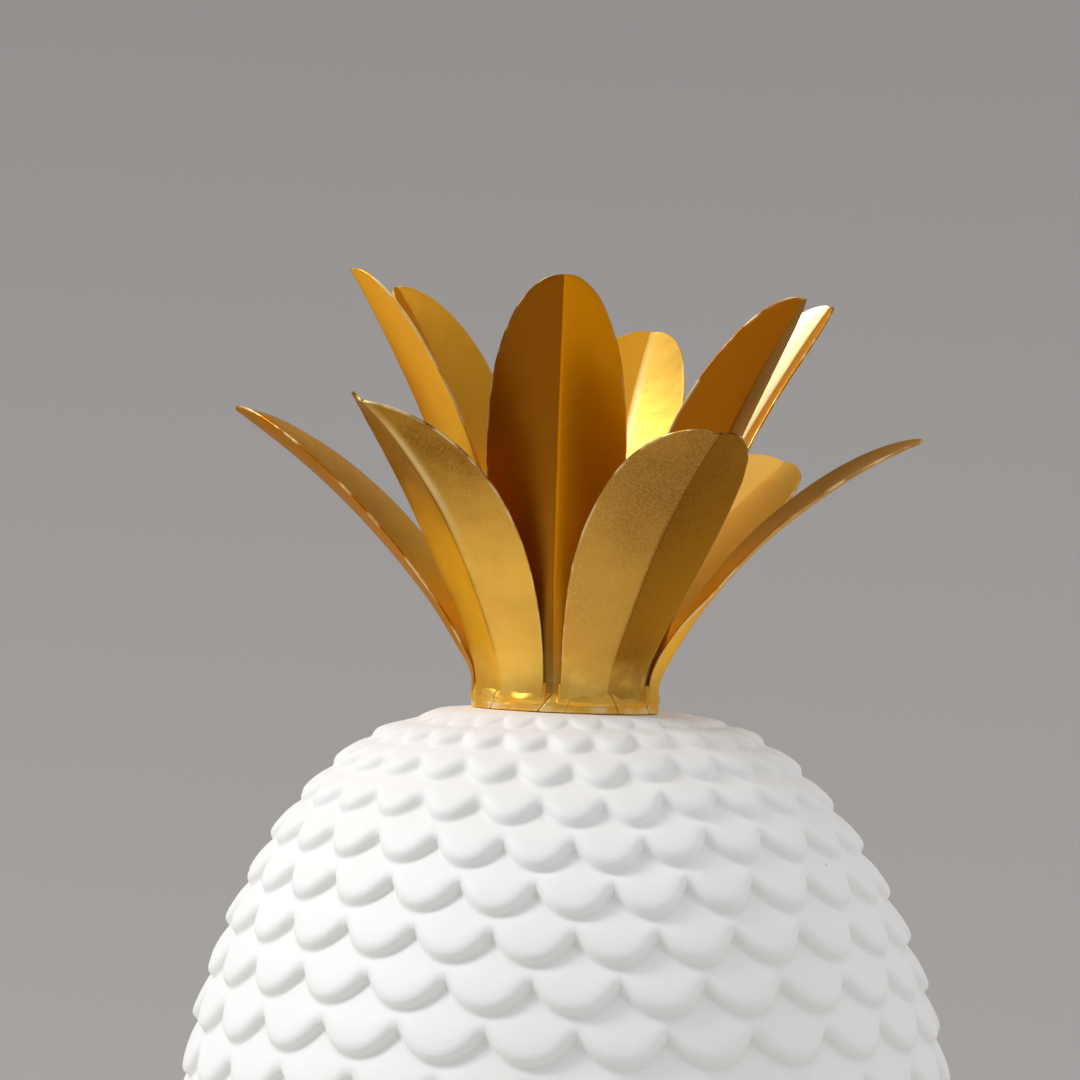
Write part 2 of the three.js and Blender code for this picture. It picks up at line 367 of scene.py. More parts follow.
class Shader:
    """A new material's shader, with the patterns and mixes that the finishes are made of."""

    def __init__(self, name: str) -> None:
        """Makes the material.

        Args:
            name: its name.
        """
        self.material = bpy.data.materials.new(name)
        self.material.use_nodes = True
        self.tree = self.material.node_tree

    def place(self) -> bpy.types.NodeSocket:
        """The piece's own coordinates."""
        return add_node(self.tree, "ShaderNodeTexCoord").outputs["Object"]

    def noise(self, size: float, detail: float = 2.0, seed: float = 0.0) -> Value:
        """A cloudy pattern.

        Args:
            size: the width of one cloud, in metres.
            detail: how many finer layers lie over the first.
            seed: a shift that gives each piece a pattern of its own.

        Returns:
            The pattern, between 0 and 1.
        """
        inputs = {"Vector": self.place(), "W": seed, "Scale": 1 / size, "Detail": detail}
        cloud = add_node(self.tree, "ShaderNodeTexNoise", inputs, noise_dimensions="4D")
        return Value(cloud.outputs["Fac"])

    def specks(self, cell: float, radius: float, share: float) -> Value:
        """Scattered dots.

        Args:
            cell: the mean distance between the places where a dot may be, in metres.
            radius: a dot's radius, in metres.
            share: the share of those places that have a dot.

        Returns:
            1 in a dot and 0 between them.
        """
        inputs = {"Vector": self.place(), "Scale": 1 / cell}
        cells = add_node(self.tree, "ShaderNodeTexVoronoi", inputs)
        split = add_node(self.tree, "ShaderNodeSeparateColor", {"Color": cells.outputs["Color"]})
        chosen = Value(split.outputs["Red"]).math("LESS_THAN", share)
        near = 1.0 - Value(cells.outputs["Distance"]).smooth(0.5 * radius / cell, radius / cell)
        return chosen * near

    def attribute(self, name: str) -> Value:
        """A number stored on the piece's points, by name."""
        node = add_node(self.tree, "ShaderNodeAttribute", attribute_name=name)
        return Value(node.outputs["Fac"])

    def blend(self, below: Tone | bpy.types.NodeSocket, above: Tone | bpy.types.NodeSocket,
              share: Value) -> bpy.types.NodeSocket:
        """Lays a colour over another one.

        Args:
            below: the first colour, as three numbers or as a socket.
            above: the second colour.
            share: how much of the second colour shows.

        Returns:
            The socket of the mixed colour.
        """
        inputs: dict[str | int, object] = {"Factor": share}
        for name, tone in (("A", below), ("B", above)):
            inputs[name] = tone if isinstance(tone, bpy.types.NodeSocket) else (*tone, 1.0)
        return add_node(self.tree, "ShaderNodeMix", inputs, data_type="RGBA").outputs["Result"]

    def finish(self, colour: bpy.types.NodeSocket, roughness: Value, height: Value, depth: float,
               others: Mapping[str | int, object] | None = None) -> bpy.types.Material:
        """Lays the finish on the shader.

        Args:
            colour: the colour.
            roughness: the roughness.
            height: the pattern that roughs up the surface.
            depth: the height of 1 in that pattern, in metres.
            others: what goes into the shader's other sockets.

        Returns:
            The material.
        """
        bump = add_node(self.tree, "ShaderNodeBump", {"Height": height, "Distance": depth})
        inputs = {"Base Color": colour, "Roughness": roughness, "Normal": bump.outputs["Normal"]}
        fill(self.tree.nodes["Principled BSDF"], {**inputs, **(others or {})})
        return self.material


@dataclass(frozen=True)
class MattGlaze:
    """White stoneware under a matt glaze: soft clouds of tone, painted shade in the grooves, pits and
    specks.

    Attributes:
        name: the material's name.
        tone: the glaze on the open faces.
        cloud_tone: its slow clouds.
        groove_tone: painted shade in the grooves, a darker, warmer glaze that deepens with the groove.
        speck_tone: iron specks that burn through.
        cloud_size: the width of a cloud.
        grain_size: the width of a grain.
        specks: their spacing, their radius, and the share of places that have one.
        pits: the same of the pits.
        relief: the depth of the fine roughness.
    """

    name: str = "matt_white_glaze"
    tone: Tone = (0.885, 0.883, 0.876)
    cloud_tone: Tone = (0.862, 0.857, 0.845)
    groove_tone: Tone = (0.79, 0.78, 0.755)
    speck_tone: Tone = (0.16, 0.12, 0.09)
    cloud_size: float = 30 * MM
    grain_size: float = 0.9 * MM
    specks: tuple[float, float, float] = (9 * MM, 0.26 * MM, 0.035)
    pits: tuple[float, float, float] = (3.1 * MM, 0.16 * MM, 0.12)
    relief: float = 0.03 * MM

    def make(self) -> bpy.types.Material:
        """Makes the glaze.

        Returns:
            The material.
        """
        shader = Shader(self.name)
        clouds = shader.noise(self.cloud_size, 3.0)
        grain = shader.noise(self.grain_size, 4.0)
        groove = shader.attribute("groove")
        colour = shader.blend(self.tone, self.cloud_tone, clouds.smooth(0.35, 0.7))
        # painted shade: the glaze darkens and warms with the depth of the groove
        colour = shader.blend(colour, self.groove_tone, groove * groove * 0.35)
        colour = shader.blend(colour, self.speck_tone, shader.specks(*self.specks) * 0.85)
        roughness = 0.5 + grain * 0.12 + clouds * 0.08
        height = grain * 0.6 + clouds * 2.0 - shader.specks(*self.pits) * 1.5
        return shader.finish(colour, roughness, height, self.relief)


class Coat(Enum):
    """The tones of half a leaf, set to how that half looks where it stands, so they hold painted light
    and shade as well as the gold: its tone, its darker tone and how grainy it is.
    """

    # painted highlight: a half that catches the lamp's reflection
    BLEACHED = ((1.0, 0.85, 0.55), (0.97, 0.74, 0.36), 0.1)
    PALE = ((0.98, 0.62, 0.13), (0.92, 0.52, 0.08), 0.1)
    BRIGHT = ((1.0, 0.55, 0.04), (0.95, 0.43, 0.03), 0.08)
    TOASTED = ((1.0, 0.49, 0.03), (0.22, 0.07, 0.003), 0.06)
    FRESH = ((0.95, 0.47, 0.03), (0.68, 0.3, 0.015), 0.12)
    AMBER = ((0.95, 0.36, 0.0), (0.8, 0.29, 0.0), 0.02)
    BROWNED = ((0.6, 0.22, 0.003), (0.42, 0.14, 0.001), 0.03)
    RUSSET = ((0.5, 0.16, 0.0), (0.4, 0.12, 0.0), 0.03)
    # painted shadow: a half in the shadow of the leaves beside it
    SCORCHED = ((0.38, 0.14, 0.004), (0.29, 0.088, 0.0), 0.03)
    DUSTED = ((0.92, 0.5, 0.07), (0.26, 0.1, 0.01), 0.2)
    OLIVE = ((0.96, 0.54, 0.075), (0.21, 0.082, 0.004), 0.3)
    MELLOW = ((1.0, 0.57, 0.065), (0.56, 0.27, 0.07), 0.15)
    FADED = ((0.92, 0.53, 0.1), (0.82, 0.44, 0.08), 0.15)
    HAZED = ((0.68, 0.36, 0.055), (0.31, 0.14, 0.018), 0.3)
    STAINED = ((0.4, 0.165, 0.008), (0.21, 0.075, 0.003), 0.14)


@dataclass(frozen=True)
class GoldPaint:
    """Gold lacquer on sheet metal: grainy flakes, darker along the folds, worn and given a painted
    highlight at the rims, a painted highlight where a soft bend ends and painted shade low on the inner
    leaves.

    Attributes:
        name: the material's name.
        coats: the tones of the half before the crease and of the half behind it, which hold painted
            light and shade for how each half faces the light.
        seed: a shift that gives each piece a pattern of its own.
        rim_tone: bare metal along the rims with a painted highlight on it, and the painted highlight
            where a softly bent half ends.
        grain_tone: pale flakes that show where the coat is grainy.
        pool_tone: thick paint that ran down to the root.
        dirt_tone: grime in the cracks of the thick paint, and painted shade low on the inner leaves.
        glance_tone: the lacquer where it is seen at a flat angle.
        cloud_size: the width of a browned cloud.
        streak_size: the width of a streak.
        flake_size: the width of a flake.
        relief: the depth of the fine roughness.
    """

    name: str
    coats: tuple[Coat, Coat]
    seed: float
    rim_tone: Tone = (0.97, 0.76, 0.38)
    grain_tone: Tone = (0.85, 0.6, 0.22)
    pool_tone: Tone = (0.98, 0.64, 0.13)
    dirt_tone: Tone = (0.1, 0.055, 0.012)
    glance_tone: Tone = (1.0, 0.72, 0.35)
    cloud_size: float = 16 * MM
    streak_size: float = 5 * MM
    flake_size: float = 0.26 * MM
    relief: float = 0.025 * MM

    def make(self) -> bpy.types.Material:
        """Makes the paint.

        Returns:
            The material.
        """
        shader = Shader(self.name)
        clouds = shader.noise(self.cloud_size, 3.0, self.seed)
        streaks = shader.noise(self.streak_size, 2.0, self.seed + 5.0)
        flakes = shader.noise(self.flake_size, 3.0, self.seed)
        rim, crease, root, side, along, polish, crack = (
            shader.attribute(name)
            for name in ("rim", "crease", "root", "side", "along", "polish", "crack")
        )
        behind = (side + (streaks - 0.5) * 0.02).smooth(-0.012, 0.012)
        # darker in slow clouds, along the crease and towards the tip
        deep = clouds.smooth(0.35, 0.75) * 0.3 + crease * 0.4 + along.smooth(0.1, 0.8) * 0.85
        halves = []
        for tone, deep_tone, grain in (coat.value for coat in self.coats):
            colour = shader.blend(tone, deep_tone, deep.math("MINIMUM", 1.0))
            share = flakes.smooth(0.42, 0.72) * (0.25 + clouds) * grain
            halves.append(shader.blend(colour, self.grain_tone, share))
        colour = shader.blend(*halves, behind)
        pooled = root * (0.35 + streaks.smooth(0.4, 0.65) * 0.6)
        colour = shader.blend(colour, self.pool_tone, pooled)
        # the rims are worn bare in patches and also carry a painted highlight
        rim_wear_and_highlight = rim * streaks.smooth(0.42, 0.62)
        # painted highlight: a pale band where a softly bent half ends
        painted_highlight = polish * (0.45 + streaks * 0.7)
        bright = (rim_wear_and_highlight * 0.9).math("MAXIMUM", painted_highlight * 0.8)
        colour = shader.blend(colour, self.rim_tone, bright)
        # grime in the cracks and the pooled paint, and painted shade low on the inner leaves, which
        # store it as crack
        dirt_and_shade = crack + root * clouds.smooth(0.5, 0.7) * 0.3
        colour = shader.blend(colour, self.dirt_tone, dirt_and_shade * 0.9)
        roughness = 0.26 + flakes * 0.1 + clouds * 0.1 + root * 0.1 + dirt_and_shade * 0.3
        height = flakes * 1.4 + streaks * 3.0 + clouds * 8.0
        return shader.finish(colour, roughness, height, self.relief, {
            "Metallic": 0.95 - rim_wear_and_highlight * 0.2 - root * 0.15 - dirt_and_shade * 0.6,
            "Specular Tint": (*self.glance_tone, 1.0),
            "Coat Weight": 0.04,
            "Coat Roughness": 0.08,
        })


@dataclass(frozen=True)
class CuredGlue:
    """Cream adhesive: cloudy, with a soft shine and a stringy surface.

    Attributes:
        name: the material's name.
        tone: the adhesive where it is thick.
        thin_tone: the adhesive where it is thin.
        cloud_size: the width of a cloud.
        string_size: the width of a string.
        relief: the depth of its strings.
    """

    name: str = "cured_glue"
    tone: Tone = (0.72, 0.66, 0.52)
    thin_tone: Tone = (0.52, 0.42, 0.27)
    cloud_size: float = 4 * MM
    string_size: float = 0.8 * MM
    relief: float = 0.08 * MM

    def make(self) -> bpy.types.Material:
        """Makes the adhesive.

        Returns:
            The material.
        """
        shader = Shader(self.name)
        clouds = shader.noise(self.cloud_size, 4.0)
        strings = shader.noise(self.string_size, 3.0)
        colour = shader.blend(self.tone, self.thin_tone, clouds.smooth(0.4, 0.7))
        return shader.finish(colour, 0.35 + strings * 0.3, strings + clouds * 3.0, self.relief)


@dataclass(frozen=True)
class Felt:
    """Dark wool felt: matted fibres, lint and pressed patches.

    Attributes:
        name: the material's name.
        tone: the wool.
        lint_tone: lint on it.
        fibre_size: the width of a fibre.
        patch_size: the width of a pressed patch.
        relief: the depth of its fibres.
    """

    name: str = "dark_felt"
    tone: Tone = (0.05, 0.048, 0.045)
    lint_tone: Tone = (0.16, 0.155, 0.148)
    fibre_size: float = 0.18 * MM
    patch_size: float = 1.8 * MM
    relief: float = 0.12 * MM

    def make(self) -> bpy.types.Material:
        """Makes the felt.

        Returns:
            The material.
        """
        shader = Shader(self.name)
        fibres = shader.noise(self.fibre_size, 6.0)
        patches = shader.noise(self.patch_size)
        share = fibres.smooth(0.48, 0.72) * 0.7 + patches * 0.2
        colour = shader.blend(self.tone, self.lint_tone, share)
        roughness = 0.82 + fibres * 0.16
        return shader.finish(colour, roughness, fibres + patches, self.relief, {"Sheen Weight": 0.6})


@dataclass(frozen=True)
class Outline:
    """The body's outline over the scale lips, from the shoulder under the crown to the foot.

    Attributes:
        radius: the widest radius.
        height: what the second column of the shares is a share of.
        base: the level of the underside.
        shares: radius and height of evenly spaced points on the outline.
        steps: fine steps between two of those points.
    """

    radius: float = 71.3 * MM
    height: float = 179.3 * MM
    base: float = 1.3 * MM
    shares: tuple[tuple[float, float], ...] = (
        (0.245, 0.992), (0.473, 0.975), (0.651, 0.918), (0.793, 0.838), (0.896, 0.751),
        (0.961, 0.658), (0.992, 0.561), (1.0, 0.465), (0.987, 0.368), (0.949, 0.273),
        (0.879, 0.181), (0.77, 0.094), (0.619, 0.02),
    )
    steps: int = 24

    def points(self) -> np.ndarray:
        """Follows a smooth curve through the points.

        Returns:
            Rows of radius and height, from the shoulder to the foot.
        """
        given = np.array(self.shares) * (self.radius, self.height) + (0.0, self.base)
        around = np.vstack((given[:1], given, given[-1:]))
        found = []
        for i in range(len(given) - 1):
            before, start, end, after = around[i:i + 4]
            leave, arrive = (end - before) / 2, (after - start) / 2
            for t in np.arange(self.steps) / self.steps:
                found.append(
                    (2 * start - 2 * end + leave + arrive) * t ** 3
                    + (3 * end - 3 * start - 2 * leave - arrive) * t ** 2
                    + leave * t
                    + start
                )
        return np.array([*found, given[-1]])

    @property
    def top(self) -> float:
        """The level of the outline's first point."""
        return self.base + self.shares[0][1] * self.height

    def at(self, points: np.ndarray, share: float) -> tuple[np.ndarray, np.ndarray]:
        """Finds a place on the outline.

        Args:
            points: what the points method returns.
            share: the share of the outline's length.

        Returns:
            The place, and the direction down the outline.
        """
        steps = np.linalg.norm(np.diff(points, axis=0), axis=1)
        along = np.concatenate(([0.0], np.cumsum(steps)))
        place = np.array([np.interp(share * along[-1], along, points[:, i]) for i in range(2)])
        step = min(np.searchsorted(along, share * along[-1], side="right"), len(points) - 1)
        direction = points[step] - points[step - 1]
        return place, direction / np.linalg.norm(direction)


@dataclass(frozen=True)
class CrownSeat:
    """The flat seat and the boss on the shoulder, tilted with the crown.

    Attributes:
        tilt: the crown's lean towards +X.
        rise: the collar's lower edge above the top of the outline.
        gap: the clearance under the collar.
        boss_radius: the boss inside the collar.
        boss_height: its height above the collar's lower edge.
        flat_radius: how far the flat seat reaches.
        flank_width: the width of the slope round the seat.
        flank_drop: how far that slope falls.
        blur: how softly the seat runs into the outline.
    """

    tilt: float = math.radians(2.4)
    rise: float = 0.4 * MM
    gap: float = 0.3 * MM
    boss_radius: float = 12.8 * MM
    boss_height: float = 7.0 * MM
    flat_radius: float = 22.8 * MM
    flank_width: float = 4.0 * MM
    flank_drop: float = 1.5 * MM
    blur: float = 0.25 * MM

    def matrix(self, outline: Outline) -> Matrix:
        """The place of the crown on the body."""
        return Matrix.Translation((0, 0, outline.top + self.rise)) @ Matrix.Rotation(self.tilt, 4, "Y")

    def over(self, outline: Outline, points: np.ndarray) -> np.ndarray:
        """Lays the seat over the top of the outline.

        Args:
            outline: the body's outline.
            points: its points.

        Returns:
            The points, lifted softly to the seat where the seat is higher.
        """
        level = outline.top + self.rise - self.gap
        beyond = np.clip((points[:, 0] - self.flat_radius) / self.flank_width, 0, None)
        seat = level - self.flank_drop * beyond ** 1.6
        gap = points[:, 1] - seat
        lifted = points.copy()
        lifted[:, 1] = seat + gap / 2 + np.sqrt((gap / 2) ** 2 + self.blur ** 2)
        lifted[:, 1] -= np.clip(self.blur * (1 - np.abs(gap) / (8 * self.blur)), 0, None)
        return np.where(points[:, :1] < self.flat_radius + 2 * self.flank_width, lifted, points)


@dataclass(frozen=True)
class Patch:
    """A stretch of the skin on one side of the body.

    Attributes:
        sideways: the sines of the azimuths between which it fades in.
        upper: the rows over which it fades in, from the crown down.
        lower: the rows over which it fades out again.
    """

    sideways: tuple[float, float]
    upper: tuple[float, float]
    lower: tuple[float, float]

    def share(self, sideways: Value, row: Value) -> Value:
        """How much it counts at a place, by the sine of the azimuth and the row."""
        rows = (row.smooth(*self.upper), 1.0 - row.smooth(*self.lower))
        return sideways.smooth(*self.sideways) * rows[0] * rows[1]


@dataclass
class ScaleSkin:
    """The rule that lays one strip of scales round the body as a helix, row under row.

    Attributes:
        per_turn: scales in one turn; the half scale staggers the rows.
        rows: turns from the crown to the foot.
        start: the azimuth of the first scale.
        lip_height: the height of a lip's arc, in rows.
        lip_angle: the steepness of that arc where two lips meet.
        step: the drop under a lip.
        roll: the width of the rolled edge.
        side_roll: how much wider it is where two lips meet, as a share.
        roll_share: the largest share of a scale's length that it takes.
        fillet: the width of the glaze that fills the corner under a lip.
        fillet_share: the largest share of a scale's length that it takes.
        fillet_height: how much of the drop it fills, as a share.
        valley_depth: the groove between two neighbours of a row.
        valley_width: its width, in scales.
        pillow: how far a scale swells.
        crown_swell: how much more it swells near the crown, as a share.
        relief_rows: rows over which the scales fade in under the crown.
        shoulder_rows: rows over which the shoulder turns square to the crown.
        unevenness: how far the hand-finished surface wanders.
        firmness: how much less the scales are smoothed away from the crown, as a share.
        drift: how far the rows ride up at the upper right, in rows.
        sag: how far they hang lower at the lower left, as a share of the drift.
        shoulder_swell: how far the left shoulder stands out over the outline.
        weld: points that are closer than this become one.
        swell_rows: the rows between which the crown's swell fades out.
        firm_rows: the rows between which the scales grow firm.
        columns: columns of points across a scale.
        fillet_levels: steps over the filled corner under the lips above.
        face_levels: steps from there down to where the lip rolls over.
        roll_levels: steps round the rolled lip.
        soft_steps: how often the glazed surface is smoothed.
        upper_right: where the rows ride up.
        lower_left: where they hang lower.
        left_shoulder: where the shoulder stands out.
    """

    per_turn: float = 26.5
    rows: float = 24.0
    start: float = math.radians(212.3)
    lip_height: float = 0.65
    lip_angle: float = math.radians(69)
    step: float = 3.4 * MM
    roll: float = 1.6 * MM
    side_roll: float = 0.8
    roll_share: float = 0.62
    fillet: float = 1.0 * MM
    fillet_share: float = 0.22
    fillet_height: float = 0.25
    valley_depth: float = 0.2 * MM
    valley_width: float = 0.09
    pillow: float = 0.4 * MM
    crown_swell: float = 0.9
    relief_rows: float = 2.6
    shoulder_rows: float = 1.6
    unevenness: float = 0.16 * MM
    firmness: float = 0.92
    drift: float = 0.25
    sag: float = 0.9
    shoulder_swell: float = 0.6 * MM
    weld: float = 0.004 * MM
    swell_rows: tuple[float, float] = (3.0, 9.0)
    firm_rows: tuple[float, float] = (1.0, 5.5)
    columns: int = 12
    fillet_levels: int = 2
    face_levels: int = 4
    roll_levels: int = 4
    soft_steps: int = 6
    upper_right: Patch = Patch((0.22, 0.42), (0.5, 2.0), (4.5, 8.0))
    lower_left: Patch = Patch((0.5, 0.95), (6.0, 12.0), (14.0, 20.0))
    left_shoulder: Patch = Patch((0.1, 0.7), (0.8, 2.2), (4.0, 8.0))

    def inputs(self, pitch: float, tilt: float) -> dict[str, float]:
        """The named inputs of the node tree: the rule's plain numbers and what the body adds.

        Args:
            pitch: the length of a row.
            tilt: the crown's lean.

        Returns:
            Value by name.
        """
        sizes = {size.name: getattr(self, size.name) for size in fields(self) if size.type is float}
        return {**sizes, "pitch": pitch, "tilt": tilt}

    def lip(self, given: dict[str, Value], column: Value) -> tuple[Value, Value, Value]:
        """Follows the lips along the helix.

        Args:
            given: the tree's inputs.
            column: the column, counted in scales.

        Returns:
            The number of the column's scale, how far the lip's point lies from that scale's
            middle, in scales, and how far it rises, in rows.
        """
        middle = (column + 0.5).math("FLOOR")
        offset = column - middle
        in_skin = column.math("LESS_THAN", given["rows"] * given["per_turn"])
        bend = (column / given["per_turn"]).smooth(0.0, 1.0) * in_skin
        angle = offset * given["lip_angle"] * 2.0
        arc_place = angle.math("SINE") / (given["lip_angle"].math("SINE") * 2.0)
        depth = 1.0 - given["lip_angle"].math("COSINE")
        rise = given["lip_height"] * bend * (1.0 - angle.math("COSINE")) / depth
        return middle, offset.towards(arc_place, bend), rise

    def scales(self, given: dict[str, Value], level: Value,
               column: Value) -> tuple[Value, Value, Value]:
        """Shapes the strip of scales.

        Args:
            given: the tree's inputs.
            level: the step down a scale.
            column: the column, counted in scales.

        Returns:
            A point's place along the helix, in scales, its row, and its height over the outline.
        """
        turn, step = given["per_turn"], given["step"]
        middle, across, rise = self.lip(given, column)
        middle_above, across_above, rise_above = self.lip(given, column - turn)
        low = middle + across
        top = middle_above + across_above + turn
        row_low = (low / turn - rise).between(0.0, given["rows"])
        row_top = (top / turn - 1.0 - rise_above).math("MAXIMUM", 0.0)
        hair = 0.01 * MM
        length = (row_low - row_top) * given["pitch"] + hair
        steep = 1.0 + given["side_roll"] * (2.0 * abs(across)).math("POWER", 2.0)
        roll_share = (given["roll"] * steep / length).math("MINIMUM", given["roll_share"])
        fillet_share = (given["fillet"] / length).math("MINIMUM", given["fillet_share"])
        filled = (level / float(self.fillet_levels)).math("MINIMUM", 1.0)
        down = (level - float(self.fillet_levels)) / float(self.face_levels)
        over = (level - float(self.fillet_levels + self.face_levels)).math("MAXIMUM", 0.0)
        angle = over * (math.pi / 2 / self.roll_levels)
        share = fillet_share * filled + (1.0 - fillet_share - roll_share) * down.between(0.0, 1.0)
        share = share + roll_share * angle.math("SINE")
        place = top.towards(low, share)
        row = row_top.towards(row_low, share)

        whole = given["lip_height"] + 1.0

        def valley(away: Value) -> Value:
            """The groove between two neighbours, by the distance from its bottom line."""
            return away.bell(given["valley_width"]) * given["valley_depth"]

        def drop(offset: Value) -> Value:
            """How far the surface falls at a lip."""
            return step / whole + valley(abs(offset)) - valley(0.5 - abs(offset))

        swell = (share * math.pi).math("SINE") * given["pillow"]
        swell = swell * (1.0 + (1.0 - row.smooth(*self.swell_rows)) * given["crown_swell"])
        plain = -(step * (place / turn - row) / whole) - valley(0.5 - abs(place - middle)) + swell
        hollow = 1.0 - filled
        corner = 1.0 - (1.0 - hollow * hollow).math("SQRT")
        fillet = drop(across_above) * given["fillet_height"] * corner
        in_rows = (column / turn).math("GREATER_THAN", 1.0)
        fall = drop(across) * (1.0 - given["fillet_height"]) * (1.0 - angle.math("COSINE"))
        raised = plain + fillet * in_rows - fall
        relief = raised * row.smooth(0.0, given["relief_rows"])
        return place, row, relief.towards(-step, row.smooth(given["rows"] - 1.0, given["rows"]))

    def position(self, given: dict[str, Value], outline: bpy.types.NodeSocket,
                 point: tuple[Value, Value, Value]) -> bpy.types.NodeSocket:
        """Wraps the strip round the body.

        Args:
            given: the tree's inputs.
            outline: the socket of the outline.
            point: a point's place, row and height over the outline.

        Returns:
            The socket of its position.
        """
        place, row, relief = point
        azimuth = given["start"] + place / given["per_turn"] * (2 * math.pi)
        sideways = azimuth.math("SINE")
        up, down = self.upper_right.share(sideways, row), self.lower_left.share(-sideways, row)
        moved_row = row + given["drift"] * (down * given["sag"] - up)
        shoulder = self.left_shoulder.share(-sideways, row)
        lifted = relief + shoulder * given["shoulder_swell"]
        tree = outline.id_data
        curve = add_node(tree, "GeometryNodeMeshToCurve", {"Mesh": outline}).outputs["Curve"]
        inputs = {"Curves": curve, "Factor": moved_row / given["rows"]}
        sample = add_node(tree, "GeometryNodeSampleCurve", inputs, mode="FACTOR")
        on_outline, along = (
            [Value(part) for part in add_node(tree, "ShaderNodeSeparateXYZ", {0: vector}).outputs]
            for vector in (sample.outputs["Position"], sample.outputs["Tangent"])
        )
        radius = on_outline[0] - along[2] * lifted
        x = radius * sideways
        y = -(radius * azimuth.math("COSINE"))
        lean = given["tilt"].math("TANGENT") * (1.0 - row.smooth(0.0, given["shoulder_rows"]))
        z = on_outline[2] + along[0] * lifted - x * lean
        return add_node(tree, "ShaderNodeCombineXYZ", {0: x, 1: y, 2: z}).outputs["Vector"]

    def softened(self, tree: bpy.types.NodeTree) -> bpy.types.NodeSocket:
        """Smooths the glazed surface where the softness on its points lets it.

        Args:
            tree: the node tree.

        Returns:
            The socket of a point's new position.
        """
        softness = add_node(tree, "GeometryNodeInputNamedAttribute", {"Name": "softness"})
        inputs = {
            "Iterations": self.soft_steps,
            "Value": add_node(tree, "GeometryNodeInputPosition").outputs["Position"],
            "Weight": softness.outputs["Attribute"],
        }
        blurred = add_node(tree, "GeometryNodeBlurAttribute", inputs, data_type="FLOAT_VECTOR")
        return blurred.outputs["Value"]

    @staticmethod
    def waves(tree: bpy.types.NodeTree, size: Value) -> bpy.types.NodeSocket:
        """Slow, small wandering of the surface, as from a worn mould and hand sponging.

        Args:
            tree: the node tree.
            size: how far a point may wander.

        Returns:
            The socket of the offset.
        """
        width = 14 * MM
        cloud = add_node(tree, "ShaderNodeTexNoise", {"Scale": 1 / width, "Detail": 1.0})
        inputs = {0: cloud.outputs["Color"], 1: (0.5, 0.5, 0.5)}
        centred = add_node(tree, "ShaderNodeVectorMath", inputs, operation="SUBTRACT")
        inputs = {0: centred.outputs["Vector"], "Scale": size}
        return add_node(tree, "ShaderNodeVectorMath", inputs, operation="SCALE").outputs["Vector"]

    def tree(self, inputs: dict[str, float], material: bpy.types.Material) -> bpy.types.NodeTree:
        """Builds the node tree.

        Args:
            inputs: the named inputs and their values.
            material: what the skin is made of.

        Returns:
            The tree. It takes the outline as edges and gives the skin.
        """
        tree = bpy.data.node_groups.new("scale_skin", "GeometryNodeTree")
        tree.interface.new_socket("outline", in_out="INPUT", socket_type="NodeSocketGeometry")
        for name, value in inputs.items():
            socket = tree.interface.new_socket(name, in_out="INPUT", socket_type="NodeSocketFloat")
            socket.default_value = value
        tree.interface.new_socket("skin", in_out="OUTPUT", socket_type="NodeSocketGeometry")
        entry = add_node(tree, "NodeGroupInput")
        given = {name: Value(entry.outputs[name]) for name in inputs}

        levels = self.fillet_levels + self.face_levels + self.roll_levels + 1
        columns = round((self.rows + 1) * self.per_turn * self.columns) + 1
        counts = {"Vertices X": columns, "Vertices Y": levels}
        grid = add_node(tree, "GeometryNodeMeshGrid", counts).outputs["Mesh"]
        index = Value(add_node(tree, "GeometryNodeInputIndex").outputs["Index"])
        number = ((index + 0.5) / float(levels)).math("FLOOR")
        level = index - number * float(levels)
        place, row, relief = self.scales(given, level, number / float(self.columns))

        # the depth under the outline, which the glaze turns into painted shade in the grooves
        groove = (-(relief / given["step"])).math("MAXIMUM", 0.0)
        softness = row.smooth(0.2, 2.0) * (1.0 - row.smooth(*self.firm_rows) * given["firmness"])
        softness = softness * (1.0 - row.smooth(given["rows"] - 1.0, given["rows"] - 0.3))
        position = self.position(given, entry.outputs["outline"], (place, row, relief))
        skin = lead(grid, (
            ("GeometryNodeSetPosition", {"Position": position}),
            ("GeometryNodeStoreNamedAttribute", {"Name": "groove", "Value": groove}),
            ("GeometryNodeStoreNamedAttribute", {"Name": "softness", "Value": softness}),
            ("GeometryNodeMergeByDistance", {"Distance": given["weld"]}),
            ("GeometryNodeSetPosition", {"Position": self.softened(tree)}),
            ("GeometryNodeSetPosition", {"Offset": self.waves(tree, given["unevenness"])}),
            ("GeometryNodeRealizeInstances", {}),
            ("GeometryNodeSetMaterial", {"Material": material}),
        ))
        add_node(tree, "NodeGroupOutput", {"skin": skin})
        return tree


